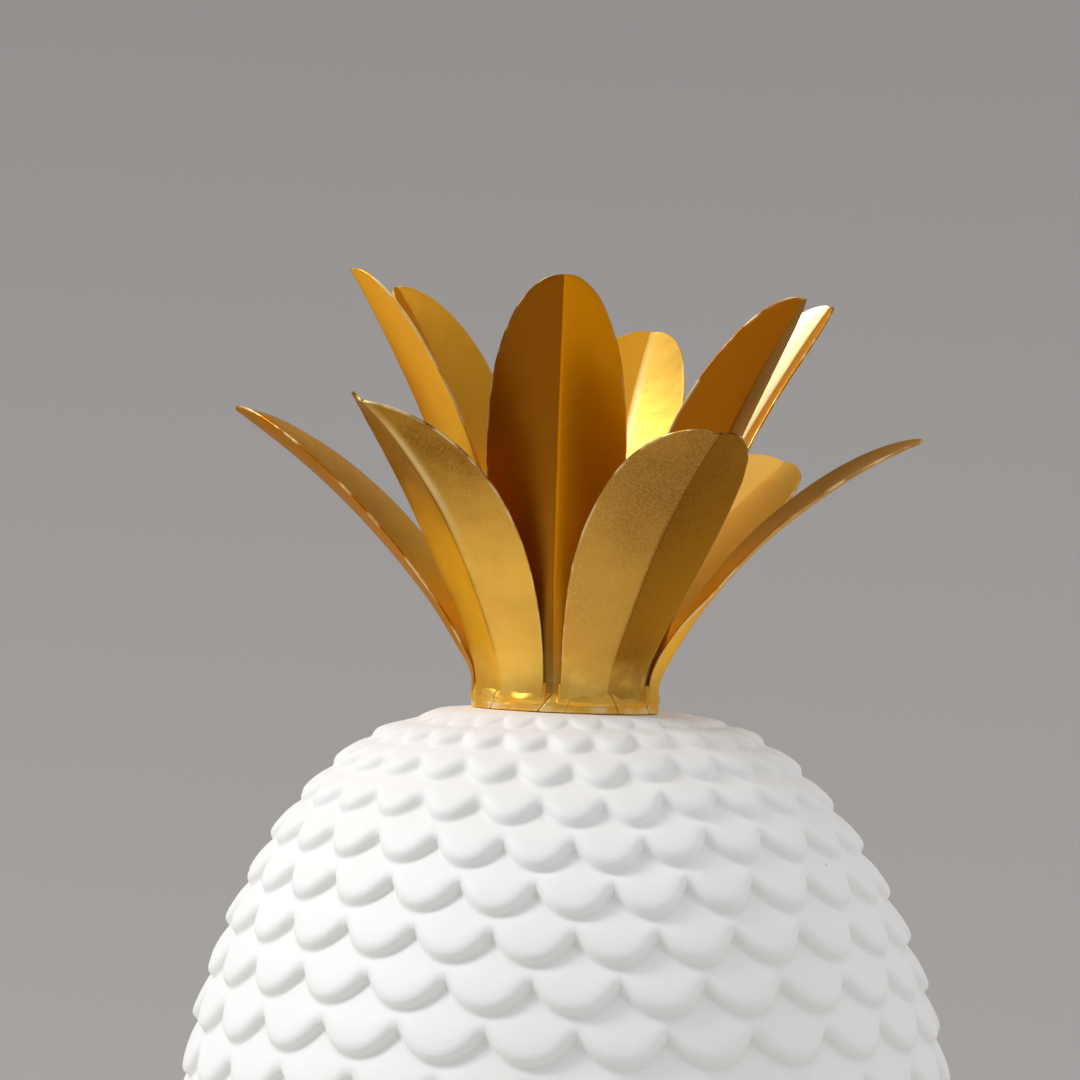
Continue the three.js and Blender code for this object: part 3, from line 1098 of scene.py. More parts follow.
@dataclass
class CeramicBody:
    """The cast body: scaled skin, boss, foot ring, recess, casting vent and the hollow inside.

    Attributes:
        outline: the outline over the scale lips.
        seat: the seat of the crown.
        skin: the rule of the scales.
        wall: the ceramic wall.
        foot_radius: the foot disc.
        ring_width: the ring that is left round the recess.
        foot_rise: the foot disc's height.
        recess_depth: how deep the recess is.
        vent_radius: the casting vent.
        edge: the rounding of the foot's and the boss's edges.
        hollow_rows: rings of points in the hollow.
    """

    outline: Outline = field(default_factory=Outline)
    seat: CrownSeat = field(default_factory=CrownSeat)
    skin: ScaleSkin = field(default_factory=ScaleSkin)
    wall: float = 6.0 * MM
    foot_radius: float = 37.0 * MM
    ring_width: float = 8.0 * MM
    foot_rise: float = 6.0 * MM
    recess_depth: float = 1.5 * MM
    vent_radius: float = 5.0 * MM
    edge: float = 1.2 * MM
    hollow_rows: int = 12

    def rounded(self, radius: float, level: float, outer: int, upper: int) -> list[tuple[float, float]]:
        """Four points round an edge.

        Args:
            radius: the radius of the sharp corner.
            level: its level.
            outer: 1 where the material lies inside the radius and -1 where outside.
            upper: 1 where it lies under the level and -1 where over.

        Returns:
            Radius and level of each point, from the flat face to the upright one.
        """
        found = []
        for angle in np.radians((0, 30, 60, 90)):
            found.append((
                radius - outer * self.edge * (1 - math.sin(angle)),
                level - upper * self.edge * (1 - math.cos(angle)),
            ))
        return found

    def foot_profile(self) -> list[tuple[float, float]]:
        """From the end of the skin under the body, through the vent and up round the hollow.

        Returns:
            Radius and level of each point.
        """
        base = self.outline.base
        recess = self.foot_radius - self.ring_width
        ceiling = base + self.recess_depth
        floor = ceiling + self.foot_rise
        profile = [(self.foot_radius + 2 * self.edge, base + self.foot_rise / 2)]
        profile += [(self.foot_radius, base + self.foot_rise / 2 - self.edge / 2)]
        profile += self.rounded(self.foot_radius, base, 1, -1)[::-1]
        profile += [(recess + self.edge / 4, base), (recess, base + self.edge / 4)]
        profile += [(recess, ceiling), (self.vent_radius + self.edge / 4, ceiling)]
        profile += [(self.vent_radius, ceiling + self.edge / 4), (self.vent_radius, floor)]
        points = self.outline.points()
        for row in range(self.hollow_rows, 0, -1):
            place, along = self.outline.at(points, row / (self.hollow_rows + 1))
            inner = place + np.array((along[1], -along[0])) * self.wall
            profile.append((inner[0], max(inner[1], floor)))
        return profile

    def boss_profile(self) -> list[tuple[float, float]]:
        """From the end of the skin under the collar up to the top of the boss.

        Returns:
            Radius and level of each point, on the tilted crown's own axis.
        """
        radius, top = self.seat.boss_radius, self.seat.boss_height
        fillet = self.edge / 4
        profile = [(radius + fillet, -self.seat.gap), (radius, fillet - self.seat.gap)]
        return profile + self.rounded(radius, top, 1, 1)[::-1]

    @staticmethod
    def close(work: bmesh.types.BMesh, upper: bool, profile: Sequence[tuple[float, float]],
              place: Matrix) -> None:
        """Draws an open end of the skin along a profile to the axis.

        Args:
            work: the skin.
            upper: whether to close the upper end or the lower one.
            profile: radius and level of each ring of points.
            place: where the profile's axis stands.
        """
        split = 100 * MM
        open_edges = [
            edge for edge in work.edges
            if edge.is_boundary and (edge.verts[0].co.z > split) == upper
        ]
        ring = sorted(
            {vertex for edge in open_edges for vertex in edge.verts},
            key=lambda vertex: math.atan2(vertex.co.y, vertex.co.x),
        )
        angles = [math.atan2(vertex.co.y, vertex.co.x) for vertex in ring]
        for radius, level in profile:
            made = []
            for angle in angles:
                point = Vector((radius * math.cos(angle), radius * math.sin(angle), level))
                made.append(work.verts.new(place @ point))
            for i, vertex in enumerate(ring):
                beside = (i + 1) % len(ring)
                work.faces.new((vertex, ring[beside], made[beside], made[i]))
            ring = made
        centre = work.verts.new(place @ Vector((0, 0, profile[-1][1])))
        for i, vertex in enumerate(ring):
            work.faces.new((vertex, ring[(i + 1) % len(ring)], centre))

    def build(self, finish: bpy.types.Material) -> bpy.types.Object:
        """Builds the body.

        Args:
            finish: the glaze.

        Returns:
            The body, one closed mesh.
        """
        points = self.seat.over(self.outline, self.outline.points())
        flat = np.stack((points[:, 0], np.zeros(len(points)), points[:, 1]), axis=1)
        line = bpy.data.meshes.new("outline")
        line.from_pydata(flat.tolist(), [(i, i + 1) for i in range(len(flat) - 1)], [])
        body = object_from("ceramic_body", line)
        pitch = float(np.linalg.norm(np.diff(points, axis=0), axis=1).sum()) / self.skin.rows
        inputs = self.skin.inputs(pitch, self.seat.tilt)
        rule = body.modifiers.new("scales", "NODES")
        rule.node_group = self.skin.tree(inputs, finish)
        for socket in rule.node_group.interface.items_tree:
            if socket.in_out == "INPUT" and socket.name in inputs:
                rule[socket.identifier] = inputs[socket.name]
        body = applied(body)
        work = bmesh.new()
        work.from_mesh(body.data)
        self.close(work, True, self.boss_profile(), self.seat.matrix(self.outline))
        self.close(work, False, self.foot_profile(), Matrix.Identity(4))
        work.to_mesh(body.data)
        work.free()
        open_edges = finish_mesh(body.data, 48)
        LOG.info("ceramic_body: %d open edges", open_edges)
        return body


@dataclass(frozen=True)
class LeafTier:
    """What the leaves of one tier share.

    Attributes:
        length: the blade's length.
        half_width: half the blade's full width.
        tab_share: the tab's width as a share of the full width.
        widest: where the blade is widest, as a share of its length.
        tab_radius: the radius of the tabs' outer faces.
    """

    length: float
    half_width: float
    tab_share: float
    widest: float
    tab_radius: float


INNER_TIER = LeafTier(75.5 * MM, 13.0 * MM, 0.5, 0.56, 16.0 * MM)
OUTER_TIER = LeafTier(67.0 * MM, 13.3 * MM, 0.66, 0.5, 16.8 * MM)


@dataclass
class CrownLeaf:
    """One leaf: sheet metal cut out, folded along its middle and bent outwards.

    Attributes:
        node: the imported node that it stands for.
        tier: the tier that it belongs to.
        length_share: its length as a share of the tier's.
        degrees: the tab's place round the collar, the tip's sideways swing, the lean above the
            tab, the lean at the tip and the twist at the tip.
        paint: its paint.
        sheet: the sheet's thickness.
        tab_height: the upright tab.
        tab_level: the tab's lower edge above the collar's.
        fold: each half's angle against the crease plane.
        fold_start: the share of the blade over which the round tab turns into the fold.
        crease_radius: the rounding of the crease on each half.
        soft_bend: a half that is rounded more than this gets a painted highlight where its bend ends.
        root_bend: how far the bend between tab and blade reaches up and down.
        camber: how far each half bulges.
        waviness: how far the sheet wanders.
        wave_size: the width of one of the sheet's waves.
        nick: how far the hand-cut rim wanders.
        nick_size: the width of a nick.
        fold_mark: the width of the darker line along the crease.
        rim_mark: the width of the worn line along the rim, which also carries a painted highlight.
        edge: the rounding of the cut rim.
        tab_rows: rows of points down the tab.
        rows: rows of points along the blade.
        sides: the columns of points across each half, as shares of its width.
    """

    node: str
    tier: LeafTier
    length_share: float
    degrees: tuple[float, float, float, float, float]
    paint: GoldPaint
    sheet: float = 0.5 * MM
    tab_height: float = 4.3 * MM
    tab_level: float = 1.2 * MM
    fold: float = math.radians(18)
    fold_start: float = 0.3
    crease_radius: tuple[float, float] = (0.2 * MM, 0.2 * MM)
    soft_bend: float = 1.0 * MM
    root_bend: float = 2.4 * MM
    camber: float = 0.3 * MM
    waviness: float = 0.22 * MM
    wave_size: float = 17 * MM
    nick: float = 0.09 * MM
    nick_size: float = 3.5 * MM
    fold_mark: float = 0.35 * MM
    rim_mark: float = 0.22 * MM
    edge: float = 0.2 * MM
    tab_rows: int = 10
    rows: int = 84
    sides: tuple[float, ...] = (
        0.0, 0.018, 0.045, 0.085, 0.14, 0.21, 0.3, 0.41, 0.52, 0.63, 0.73, 0.82, 0.89, 0.94, 0.965,
        0.982, 0.992, 0.998, 1.0,
    )

    @property
    def length(self) -> float:
        """The blade's length."""
        return self.length_share * self.tier.length

    def tab(self) -> tuple[float, float, float]:
        """The tab's azimuth, half angle and radius."""
        radius = self.tier.tab_radius
        return math.radians(self.degrees[0]), self.half_width(0.0) / radius, radius

    def half_width(self, share: float) -> float:
        """Finds half the blade's width.

        Args:
            share: the share of the blade's length.

        Returns:
            Half the width there.
        """
        tier = self.tier
        full = tier.half_width - self.sheet / 4
        if share < tier.widest:
            rise = math.sin(share / tier.widest * math.pi / 2)
            return full * (tier.tab_share + (1 - tier.tab_share) * rise)
        beyond = (share - tier.widest) / (1 - tier.widest)
        return full * math.sqrt(max(1 - beyond ** 2.3, 0))

    def directions(self, share: float) -> tuple[Vector, Vector, Vector]:
        """Finds the blade's own directions.

        Args:
            share: the share of the blade's length.

        Returns:
            Up along the blade, sideways across it, and in towards the axis.
        """
        place, swing, root_lean, tip_lean, twist = np.radians(self.degrees)
        lean = root_lean + (tip_lean - root_lean) * share
        azimuth = place + swing * (1 - (1 - share) ** 2)
        outward = Vector((math.sin(azimuth), -math.cos(azimuth), 0))
        up = Vector((0, 0, 1))
        along = up * math.cos(lean) + outward * math.sin(lean)
        inward = up * math.sin(lean) - outward * math.cos(lean)
        across = Vector((math.cos(azimuth), math.sin(azimuth), 0))
        turn = Matrix.Rotation(-twist * share, 3, along)
        return along, turn @ across, turn @ inward

    def crease(self) -> tuple[np.ndarray, list[Vector]]:
        """Follows the crease up the blade in small steps.

        Returns:
            Shares of the blade's length, and the crease's point at each of them.
        """
        place = math.radians(self.degrees[0])
        root = self.tier.tab_radius
        point = Vector((
            root * math.sin(place), -root * math.cos(place), self.tab_level + self.tab_height,
        ))
        steps = 400
        length = self.length - self.edge * 1.8
        shares, found = [0.0], [point.copy()]
        for step in range(steps):
            along = self.directions((step + 0.5) / steps)[0]
            point = point + along * (length / steps)
            shares.append((step + 1) / steps)
            found.append(point.copy())
        return np.array(shares), found

    def row(self, share: float, base: Vector, drop: float) -> list[tuple[Vector, float, float, float]]:
        """One row of points across the sheet's outer face.

        Args:
            share: the share of the blade's length.
            base: the crease's point there.
            drop: how far the row lies under that point, down the tab.

        Returns:
            Each point with its place across, from -1 to 1, how near the crease it is, and its
            distance from the rim.
        """
        _, across, inward = self.directions(share)
        half = self.half_width(share)
        radius = self.tier.tab_radius
        blend = ease(share / self.fold_start)
        found = []
        left = [-side for side in self.sides[:0:-1]]
        to_tip = (1 - share) * self.length
        to_root = (self.tab_height - drop) if share == 0 else half
        for side in (*left, *self.sides):
            offset = side * half
            bend = offset / radius
            round_off = self.crease_radius[side > 0]
            soft = math.hypot(offset, round_off) - round_off
            swell = self.camber * (1 - (2 * abs(side) - 1) ** 2) * min(half / self.tier.half_width, 1)
            sideways = radius * math.sin(bend) * (1 - blend) + offset * math.cos(self.fold) * blend
            depth = radius * (1 - math.cos(bend)) * (1 - blend)
            depth += (soft * math.sin(self.fold) - swell) * blend
            point = base + across * sideways + inward * depth
            point.z -= drop
            near = math.exp(-(offset / self.fold_mark) ** 2)
            found.append((point, side, near, min((1 - abs(side)) * half, to_tip, to_root)))
        return found

    def outer_face(self) -> tuple[np.ndarray, dict[str, np.ndarray], np.ndarray]:
        """Makes the bent sheet's outer face.

        Returns:
            Its points by row and column, the numbers stored on them by name, and their
            distances from the rim.
        """
        shares, crease = self.crease()
        wanted = [(0.0, 0.0)]
        for i in range(self.tab_rows):
            part = 0.5 - 0.5 * math.cos(math.pi * (i + 1) / self.tab_rows)
            wanted.insert(0, (0.0, self.tab_height * part))
        for i in range(1, self.rows + 1):
            wanted.append((math.sin(i / self.rows * math.pi / 2) ** 1.15, 0.0))
        seed = Vector((len(self.node), *self.degrees[:2]))
        points, rims = [], []
        names = ("side", "along", "crease", "polish", "root", "rim", "crack")
        stored: dict[str, list[float]] = {name: [] for name in names}
        # painted shade: the inner leaves darken towards the root, behind the outer leaves' tabs; stored
        # as crack
        root_shade = 0.6 if self.tier is INNER_TIER else 0.0
        for share, drop in wanted:
            position = share * (len(shares) - 1)
            low = min(int(position), len(shares) - 2)
            base = crease[low].lerp(crease[low + 1], position - low)
            _, across, inward = self.directions(share)
            loose = min(share / 0.2, 1.0)
            for point, side, near, from_rim in self.row(share, base, drop):
                wander = noise.noise(point / self.wave_size + seed) * self.waviness * loose
                nick = noise.noise(point / self.nick_size - seed) * self.nick * loose * abs(side) ** 8
                points.append(point + inward * wander - across * nick * math.copysign(1, side))
                rims.append(from_rim)
                stored["side"].append(side)
                stored["along"].append(share)
                stored["polish"].append(self.polish(share, side))
                stored["crease"].append(near * min(share / 0.15, 1.0))
                stored["root"].append(max(0.7 - share / 0.12, 0.0) if drop == 0 else 0.7)
                stored["rim"].append(math.exp(-(from_rim / self.rim_mark) ** 2) * (share > 0.04))
                stored["crack"].append(root_shade * max(1 - share / (0.5 if side > 0 else 0.22), 0))
        shape = (len(wanted), 2 * len(self.sides) - 1)
        return (
            self.bent(wanted, np.array(points).reshape(*shape, 3)),
            {name: np.array(values) for name, values in stored.items()},
            np.array(rims).reshape(shape),
        )

    def polish(self, share: float, side: float) -> float:
        """Finds how bright the painted highlight is where a softly bent half's bend ends.

        Args:
            share: the share of the blade's length.
            side: the place across, from -1 to 1.

        Returns:
            The brightness, from 0 to 1.
        """
        bend = self.crease_radius[side > 0]
        if bend < self.soft_bend:
            return 0.0
        away = (abs(side) * self.half_width(share) - 0.55 * bend) / (0.45 * bend)
        return math.exp(-away ** 2) * math.exp(-((share - 0.72) / 0.24) ** 2)

    def bent(self, wanted: Sequence[tuple[float, float]], points: np.ndarray) -> np.ndarray:
        """Rounds the bend between the tab and the blade.

        Args:
            wanted: each row's share of the blade and its drop down the tab.
            points: the points by row and column.

        Returns:
            The points, with the rows near the bend on a smooth curve.
        """
        levels = np.array([share * self.length - drop for share, drop in wanted])
        low, high = np.searchsorted(levels, (-self.root_bend, self.root_bend))
        middle = int(np.argmin(np.abs(levels)))
        rounded = points.copy()
        for row in range(low + 1, high):
            t = (levels[row] - levels[low]) / (levels[high] - levels[low])
            rounded[row] = (
                (1 - t) ** 2 * points[low] + 2 * t * (1 - t) * points[middle] + t * t * points[high]
            )
        return rounded

    def sheet_mesh(self, place: Matrix) -> bpy.types.Mesh:
        """Makes the sheet with its thickness and a rounded rim.

        Args:
            place: where the crown stands.

        Returns:
            The mesh, with the numbers that the paint follows stored on its points.
        """
        points, stored, rims = self.outer_face()
        normals = np.cross(np.gradient(points, axis=1), np.gradient(points, axis=0))
        lengths = np.linalg.norm(normals, axis=2, keepdims=True)
        normals[-1], lengths[-1] = normals[-2], lengths[-2]
        normals /= lengths
        inward = np.array(self.directions(0.5)[2])
        normals *= math.copysign(1, float((normals[len(normals) // 2] @ inward).mean()))
        near = np.clip(1 - rims / self.edge, 0, 1)[..., None]
        half = self.sheet / 2 * np.sqrt(1 - near ** 2)
        middle = points + normals * self.sheet / 2
        both = np.concatenate(((middle - normals * half), (middle + normals * half)))
        flat = np.array([place @ Vector(point) for point in both.reshape(-1, 3)])
        rows, columns = points.shape[:2]
        outside = grid_faces(rows, columns, False)
        count = rows * columns
        inside = [tuple(i + count for i in face[::-1]) for face in outside]
        mesh = mesh_from(self.node, flat, outside + inside)
        store(mesh, {name: np.tile(values, 2) for name, values in stored.items()})
        return mesh

    def build(self, place: Matrix) -> bpy.types.Object:
        """Builds the leaf.

        Args:
            place: where the crown stands.

        Returns:
            The leaf.
        """
        leaf = object_from(f"gold_{self.node}", self.sheet_mesh(place))
        open_edges = finish_mesh(leaf.data, 50)
        LOG.info("%s: %d open edges", leaf.name, open_edges)
        leaf.data.materials.append(self.paint.make())
        return leaf


@dataclass
class CrownCollar:
    """The collar behind the leaf tabs, with its rim and the paint that pooled over their roots.

    Attributes:
        inner: the collar's bore.
        outer: its wall's outer radius.
        rim: the rim's outer radius.
        rim_height: the rim's height.
        height: the collar's height.
        drip: how far the paint hangs under the rim.
        pool: how far the lumps of paint stand out.
        pool_height: the mean height of the pooled paint.
        pool_top: where its covered upper end lies.
        grain: how far its fine grain stands out.
        film: how thick it lies where it begins to thin out.
        thinning: how much it has thinned out where the pool ends.
        thinnest: how far it may lie inside the tabs' faces.
        pool_wander: how far the upper edge of the pooled paint wanders up and down.
        bank: the height over which the paint slopes from the rim up to the tabs.
        lump_rise: the height over the rim in which the lumps swell.
        tab_slope: the angle over which the paint slopes from a tab's edge to the wall.
        foot_edge: the rounding of the paint's lower edge.
        foot_level: the level of the first ring of points over that edge.
        edge: the chamfer of the collar's upper edges.
        seam: level, width and depth of the seam over the rim.
        sheet_cover: how thick the paint lies on the wall where no tab stands.
        cracks: azimuth, slant in degrees for each millimetre up, and depth share of the cracks.
        crack_width: half the width of a crack.
        crack_depth: its depth.
        crack_bend: the height over which a crack changes its way.
        levels: rings of points up the paint.
        segments: steps round the collar.
    """

    inner: float = 13.9 * MM
    outer: float = 14.9 * MM
    rim: float = 16.8 * MM
    rim_height: float = 0.9 * MM
    height: float = 5.6 * MM
    drip: float = 0.2 * MM
    pool: float = 0.5 * MM
    pool_height: float = 3.7 * MM
    pool_top: float = 4.9 * MM
    grain: float = 0.05 * MM
    film: float = 0.06 * MM
    thinning: float = 0.16 * MM
    thinnest: float = 0.3 * MM
    pool_wander: float = 1.1 * MM
    bank: float = 2.3 * MM
    lump_rise: float = 0.8 * MM
    tab_slope: float = math.radians(3.5)
    foot_edge: float = 0.3 * MM
    foot_level: float = 0.08 * MM
    edge: float = 0.2 * MM
    seam: tuple[float, float, float] = (1.15 * MM, 0.16 * MM, 0.13 * MM)
    sheet_cover: float = 0.4 * MM
    cracks: tuple[tuple[float, float, float], ...] = (
        (-51, 1.5, 0.8), (-16, 2.6, 1.0), (0.5, 1, 0.4), (35, -2, 0.7), (64, -3.4, 1.2),
        (93, 2, 0.8), (127, -2, 0.7), (171, 1, 0.9), (-152, 2, 0.8), (-101, -1, 1.0),
    )
    crack_width: float = 0.1 * MM
    crack_depth: float = 0.3 * MM
    crack_bend: float = 1.3 * MM
    levels: int = 26
    segments: int = 1440

    def face(self, azimuth: float, tabs: Sequence[tuple[float, float, float]]) -> float:
        """Finds the outermost tab at an azimuth.

        Args:
            azimuth: the azimuth.
            tabs: azimuth, half angle and radius of each tab.

        Returns:
            The radius of its outer face, or a little more than the wall's where none stands.
        """
        reach = self.outer + self.sheet_cover
        for place, half, radius in tabs:
            away = abs(math.remainder(azimuth - place, 2 * math.pi)) - half
            share = ease(1 - away / self.tab_slope)
            reach = max(reach, self.outer + (radius - self.outer) * share)
        return reach

    def skirt(self, azimuth: float, level: float, face: float) -> float:
        """Follows the pooled paint.

        Args:
            azimuth: the azimuth.
            level: the height above the collar's lower edge.
            face: the radius of the tab's face.

        Returns:
            The paint's radius there.
        """
        around = Vector((math.sin(azimuth), -math.cos(azimuth), 0)) * self.rim / MM
        up = Vector((0, 0, level / MM))
        height = self.pool_height + self.pool_wander * noise.noise(around / 3.2 + Vector((0, 0, 9)))
        lumps = max(noise.noise((around + up * 1.6) / 4.2 + Vector((3, 1, 4))) * 1.7 + 0.35, 0)
        fine = noise.noise((around + up) / 1.4) * self.grain
        above_rim = clamp((level - self.rim_height) / self.lump_rise)
        seam_level, seam_width, seam_depth = self.seam
        groove = math.exp(-((level - seam_level) / seam_width) ** 2) * seam_depth
        fall = min(max((level - 0.4 * height) / (0.6 * height), 0), 1.6)
        thick = self.pool * min(lumps, 1.2) * above_rim * (1 - ease(fall))
        thick += self.film - self.thinning * fall * fall
        reach = face + (self.rim - face) * ease(1 - (level - self.rim_height) / self.bank)
        reach += max(thick, -self.thinnest) + fine - groove
        return reach - self.crack(azimuth, level) * self.crack_depth

    def crack(self, azimuth: float, level: float) -> float:
        """Follows the cracks in the pooled paint.

        Args:
            azimuth: the azimuth.
            level: the height above the collar's lower edge.

        Returns:
            How deep the cracks are there, as a share.
        """
        found = 0.0
        waver = 1.6 * noise.noise(Vector((azimuth * 4, level / self.crack_bend, 5)))
        for degrees, slant, depth in self.cracks:
            centre = math.radians(degrees + slant * level / MM + waver)
            away = math.remainder(azimuth - centre, 2 * math.pi) * self.rim
            found = max(found, depth * math.exp(-(away / self.crack_width) ** 2))
        return found

    def section(self, azimuth: float, face: float) -> list[tuple[float, float, float, float]]:
        """The collar's section, from the bore round the paint and back.

        Args:
            azimuth: where it is cut.
            face: the radius of the tab's face there.

        Returns:
            Radius and level of each point, how much of it is pooled paint, and how much bare rim, which
            is worn and carries a painted highlight.
        """
        section = [(self.inner, 0.0, 0, 0), (self.outer, 0.0, 0, 0)]
        foot = self.skirt(azimuth, 0, face)
        for degrees in (0, 30, 60):
            angle = math.radians(degrees)
            section.append((
                foot - self.foot_edge * (1 - math.sin(angle)), -self.drip * math.cos(angle), 1.0, 0.5,
            ))
        for level in np.linspace(self.foot_level, self.pool_top, self.levels):
            bare = 1.0 if level < self.rim_height else 0.0
            section.append((self.skirt(azimuth, level, face), level, 1.0, bare))
        top, edge = self.height, self.edge
        section += [
            (self.outer, self.pool_top + edge / 4, 0, 0), (self.outer, top - edge, 0, 0),
            (self.outer - edge, top, 0, 0), (self.inner + edge, top, 0, 0),
            (self.inner, top - edge, 0, 0),
        ]
        return section

    def build(self, place: Matrix, tabs: Sequence[tuple[float, float, float]],
              paint: GoldPaint) -> bpy.types.Object:
        """Builds the collar.

        Args:
            place: where the crown stands.
            tabs: azimuth, half angle and radius of each tab.
            paint: the crown's paint.

        Returns:
            The collar.
        """
        points = []
        stored: dict[str, list[float]] = {"rim": [], "root": [], "crack": []}
        for step in range(self.segments):
            azimuth = 2 * math.pi * step / self.segments
            section = self.section(azimuth, self.face(azimuth, tabs))
            for radius, level, pooled, bare in section:
                points.append(place @ Vector((
                    radius * math.sin(azimuth), -radius * math.cos(azimuth), level,
                )))
                stored["root"].append(pooled)
                stored["rim"].append(bare)
                stored["crack"].append(pooled * self.crack(azimuth, level))
        high = len(section)
        faces = []
        for step in range(self.segments):
            here, beside = step * high, (step + 1) % self.segments * high
            for i in range(high):
                up = (i + 1) % high
                faces.append((here + i, beside + i, beside + up, here + up))
        collar = object_from("gold_collar", mesh_from("gold_collar", np.array(points), faces))
        store(collar.data, stored)
        finish_mesh(collar.data, 60)
        collar.data.materials.append(paint.make())
        return collar


@dataclass
class Crown:
    """The whole crown: collar, adhesive and two tiers of leaves.

    Attributes:
        collar: the collar.
        inner: place, swing, leans and twist of the inner leaves, in degrees.
        outer: the same of the outer leaves.
        inner_lengths: the inner leaves' lengths as shares of their tier's.
        outer_lengths: the outer leaves' lengths.
        inner_coats: the tones of the two halves of the inner leaves, with painted light and shade for
            how each half faces the light.
        outer_coats: the same of the outer ones.
        folds: the fold of the leaves that are folded less than the others, in degrees, by node.
        soft_creases: the crease rounding of the leaves that are bent softly, by node.
    """

    collar: CrownCollar = field(default_factory=CrownCollar)
    inner: tuple[tuple[float, float, float, float, float], ...] = (
        (-8, 8, 17, 16, -8), (58, -3, 12, 36, -2), (116, -9, 16, 36, -9),
        (168, -3, 21, 45, 4), (-119, 4, -1, 37, 9), (-62, -19, 10, 33, -2),
    )
    outer: tuple[tuple[float, float, float, float, float], ...] = (
        (-43, 11, 22, 65, 16), (26, -5, 30, 60, 3), (92, -1, 25, 66, -6),
        (154, -10, 50, 62, -19), (-105, -3, 34, 59, -5),
    )
    inner_lengths: tuple[float, ...] = (0.97, 1.0, 1.04, 1.06, 1.0, 1.02)
    outer_lengths: tuple[float, ...] = (0.98, 0.92, 0.99, 1.14, 1.02)
    inner_coats: tuple[tuple[Coat, Coat], ...] = (
        (Coat.SCORCHED, Coat.AMBER), (Coat.RUSSET, Coat.DUSTED), (Coat.FRESH, Coat.BLEACHED),
        (Coat.PALE, Coat.FRESH), (Coat.BRIGHT, Coat.BRIGHT), (Coat.BRIGHT, Coat.BRIGHT),
    )
    outer_coats: tuple[tuple[Coat, Coat], ...] = (
        (Coat.TOASTED, Coat.OLIVE), (Coat.HAZED, Coat.STAINED), (Coat.MELLOW, Coat.MELLOW),
        (Coat.FADED, Coat.FADED), (Coat.MELLOW, Coat.BROWNED),
    )
    folds: dict[str, float] = field(default_factory=lambda: {"outer_leaf_3": 6.0})
    soft_creases: dict[str, tuple[float, float]] = field(
        default_factory=lambda: {
            "outer_leaf_1": (0.2 * MM, 2.2 * MM), "inner_leaf_4": (1.6 * MM, 0.2 * MM),
        }
    )

    def leaves(self) -> list[CrownLeaf]:
        """Lists the leaves.

        Returns:
            The leaves of both tiers.
        """
        made = []
        for title, tier, table, lengths, coats in (
            ("inner_leaf", INNER_TIER, self.inner, self.inner_lengths, self.inner_coats),
            ("outer_leaf", OUTER_TIER, self.outer, self.outer_lengths, self.outer_coats),
        ):
            for i, (degrees, share) in enumerate(zip(table, lengths)):
                node = f"{title}_{i + 1}"
                seed = float(len(made) * 3 + 1)
                paint = GoldPaint(f"gold_paint_{node}", coats[i], seed)
                leaf = CrownLeaf(node, tier, share, degrees, paint)
                leaf.fold = math.radians(self.folds.get(node, math.degrees(leaf.fold)))
                leaf.crease_radius = self.soft_creases.get(node, leaf.crease_radius)
                made.append(leaf)
        return made

    def build(self, place: Matrix) -> None:
        """Builds and keeps every piece of the crown.

        Args:
            place: where the crown stands.
        """
        paint = GoldPaint("gold_paint_collar", (Coat.FRESH, Coat.FRESH), 40.0)
        leaves = self.leaves()
        tabs = [leaf.tab() for leaf in leaves]
        keep(self.collar.build(place, tabs, paint), ["crown_collar"])
        for leaf in leaves:
            keep(leaf.build(place), [leaf.node])
        glue = frame["nodes"]["crown_adhesive"]
        glue.data.materials.clear()
        glue.data.materials.append(CuredGlue().make())
        LOG.info("crown_adhesive: packed node, dressed")


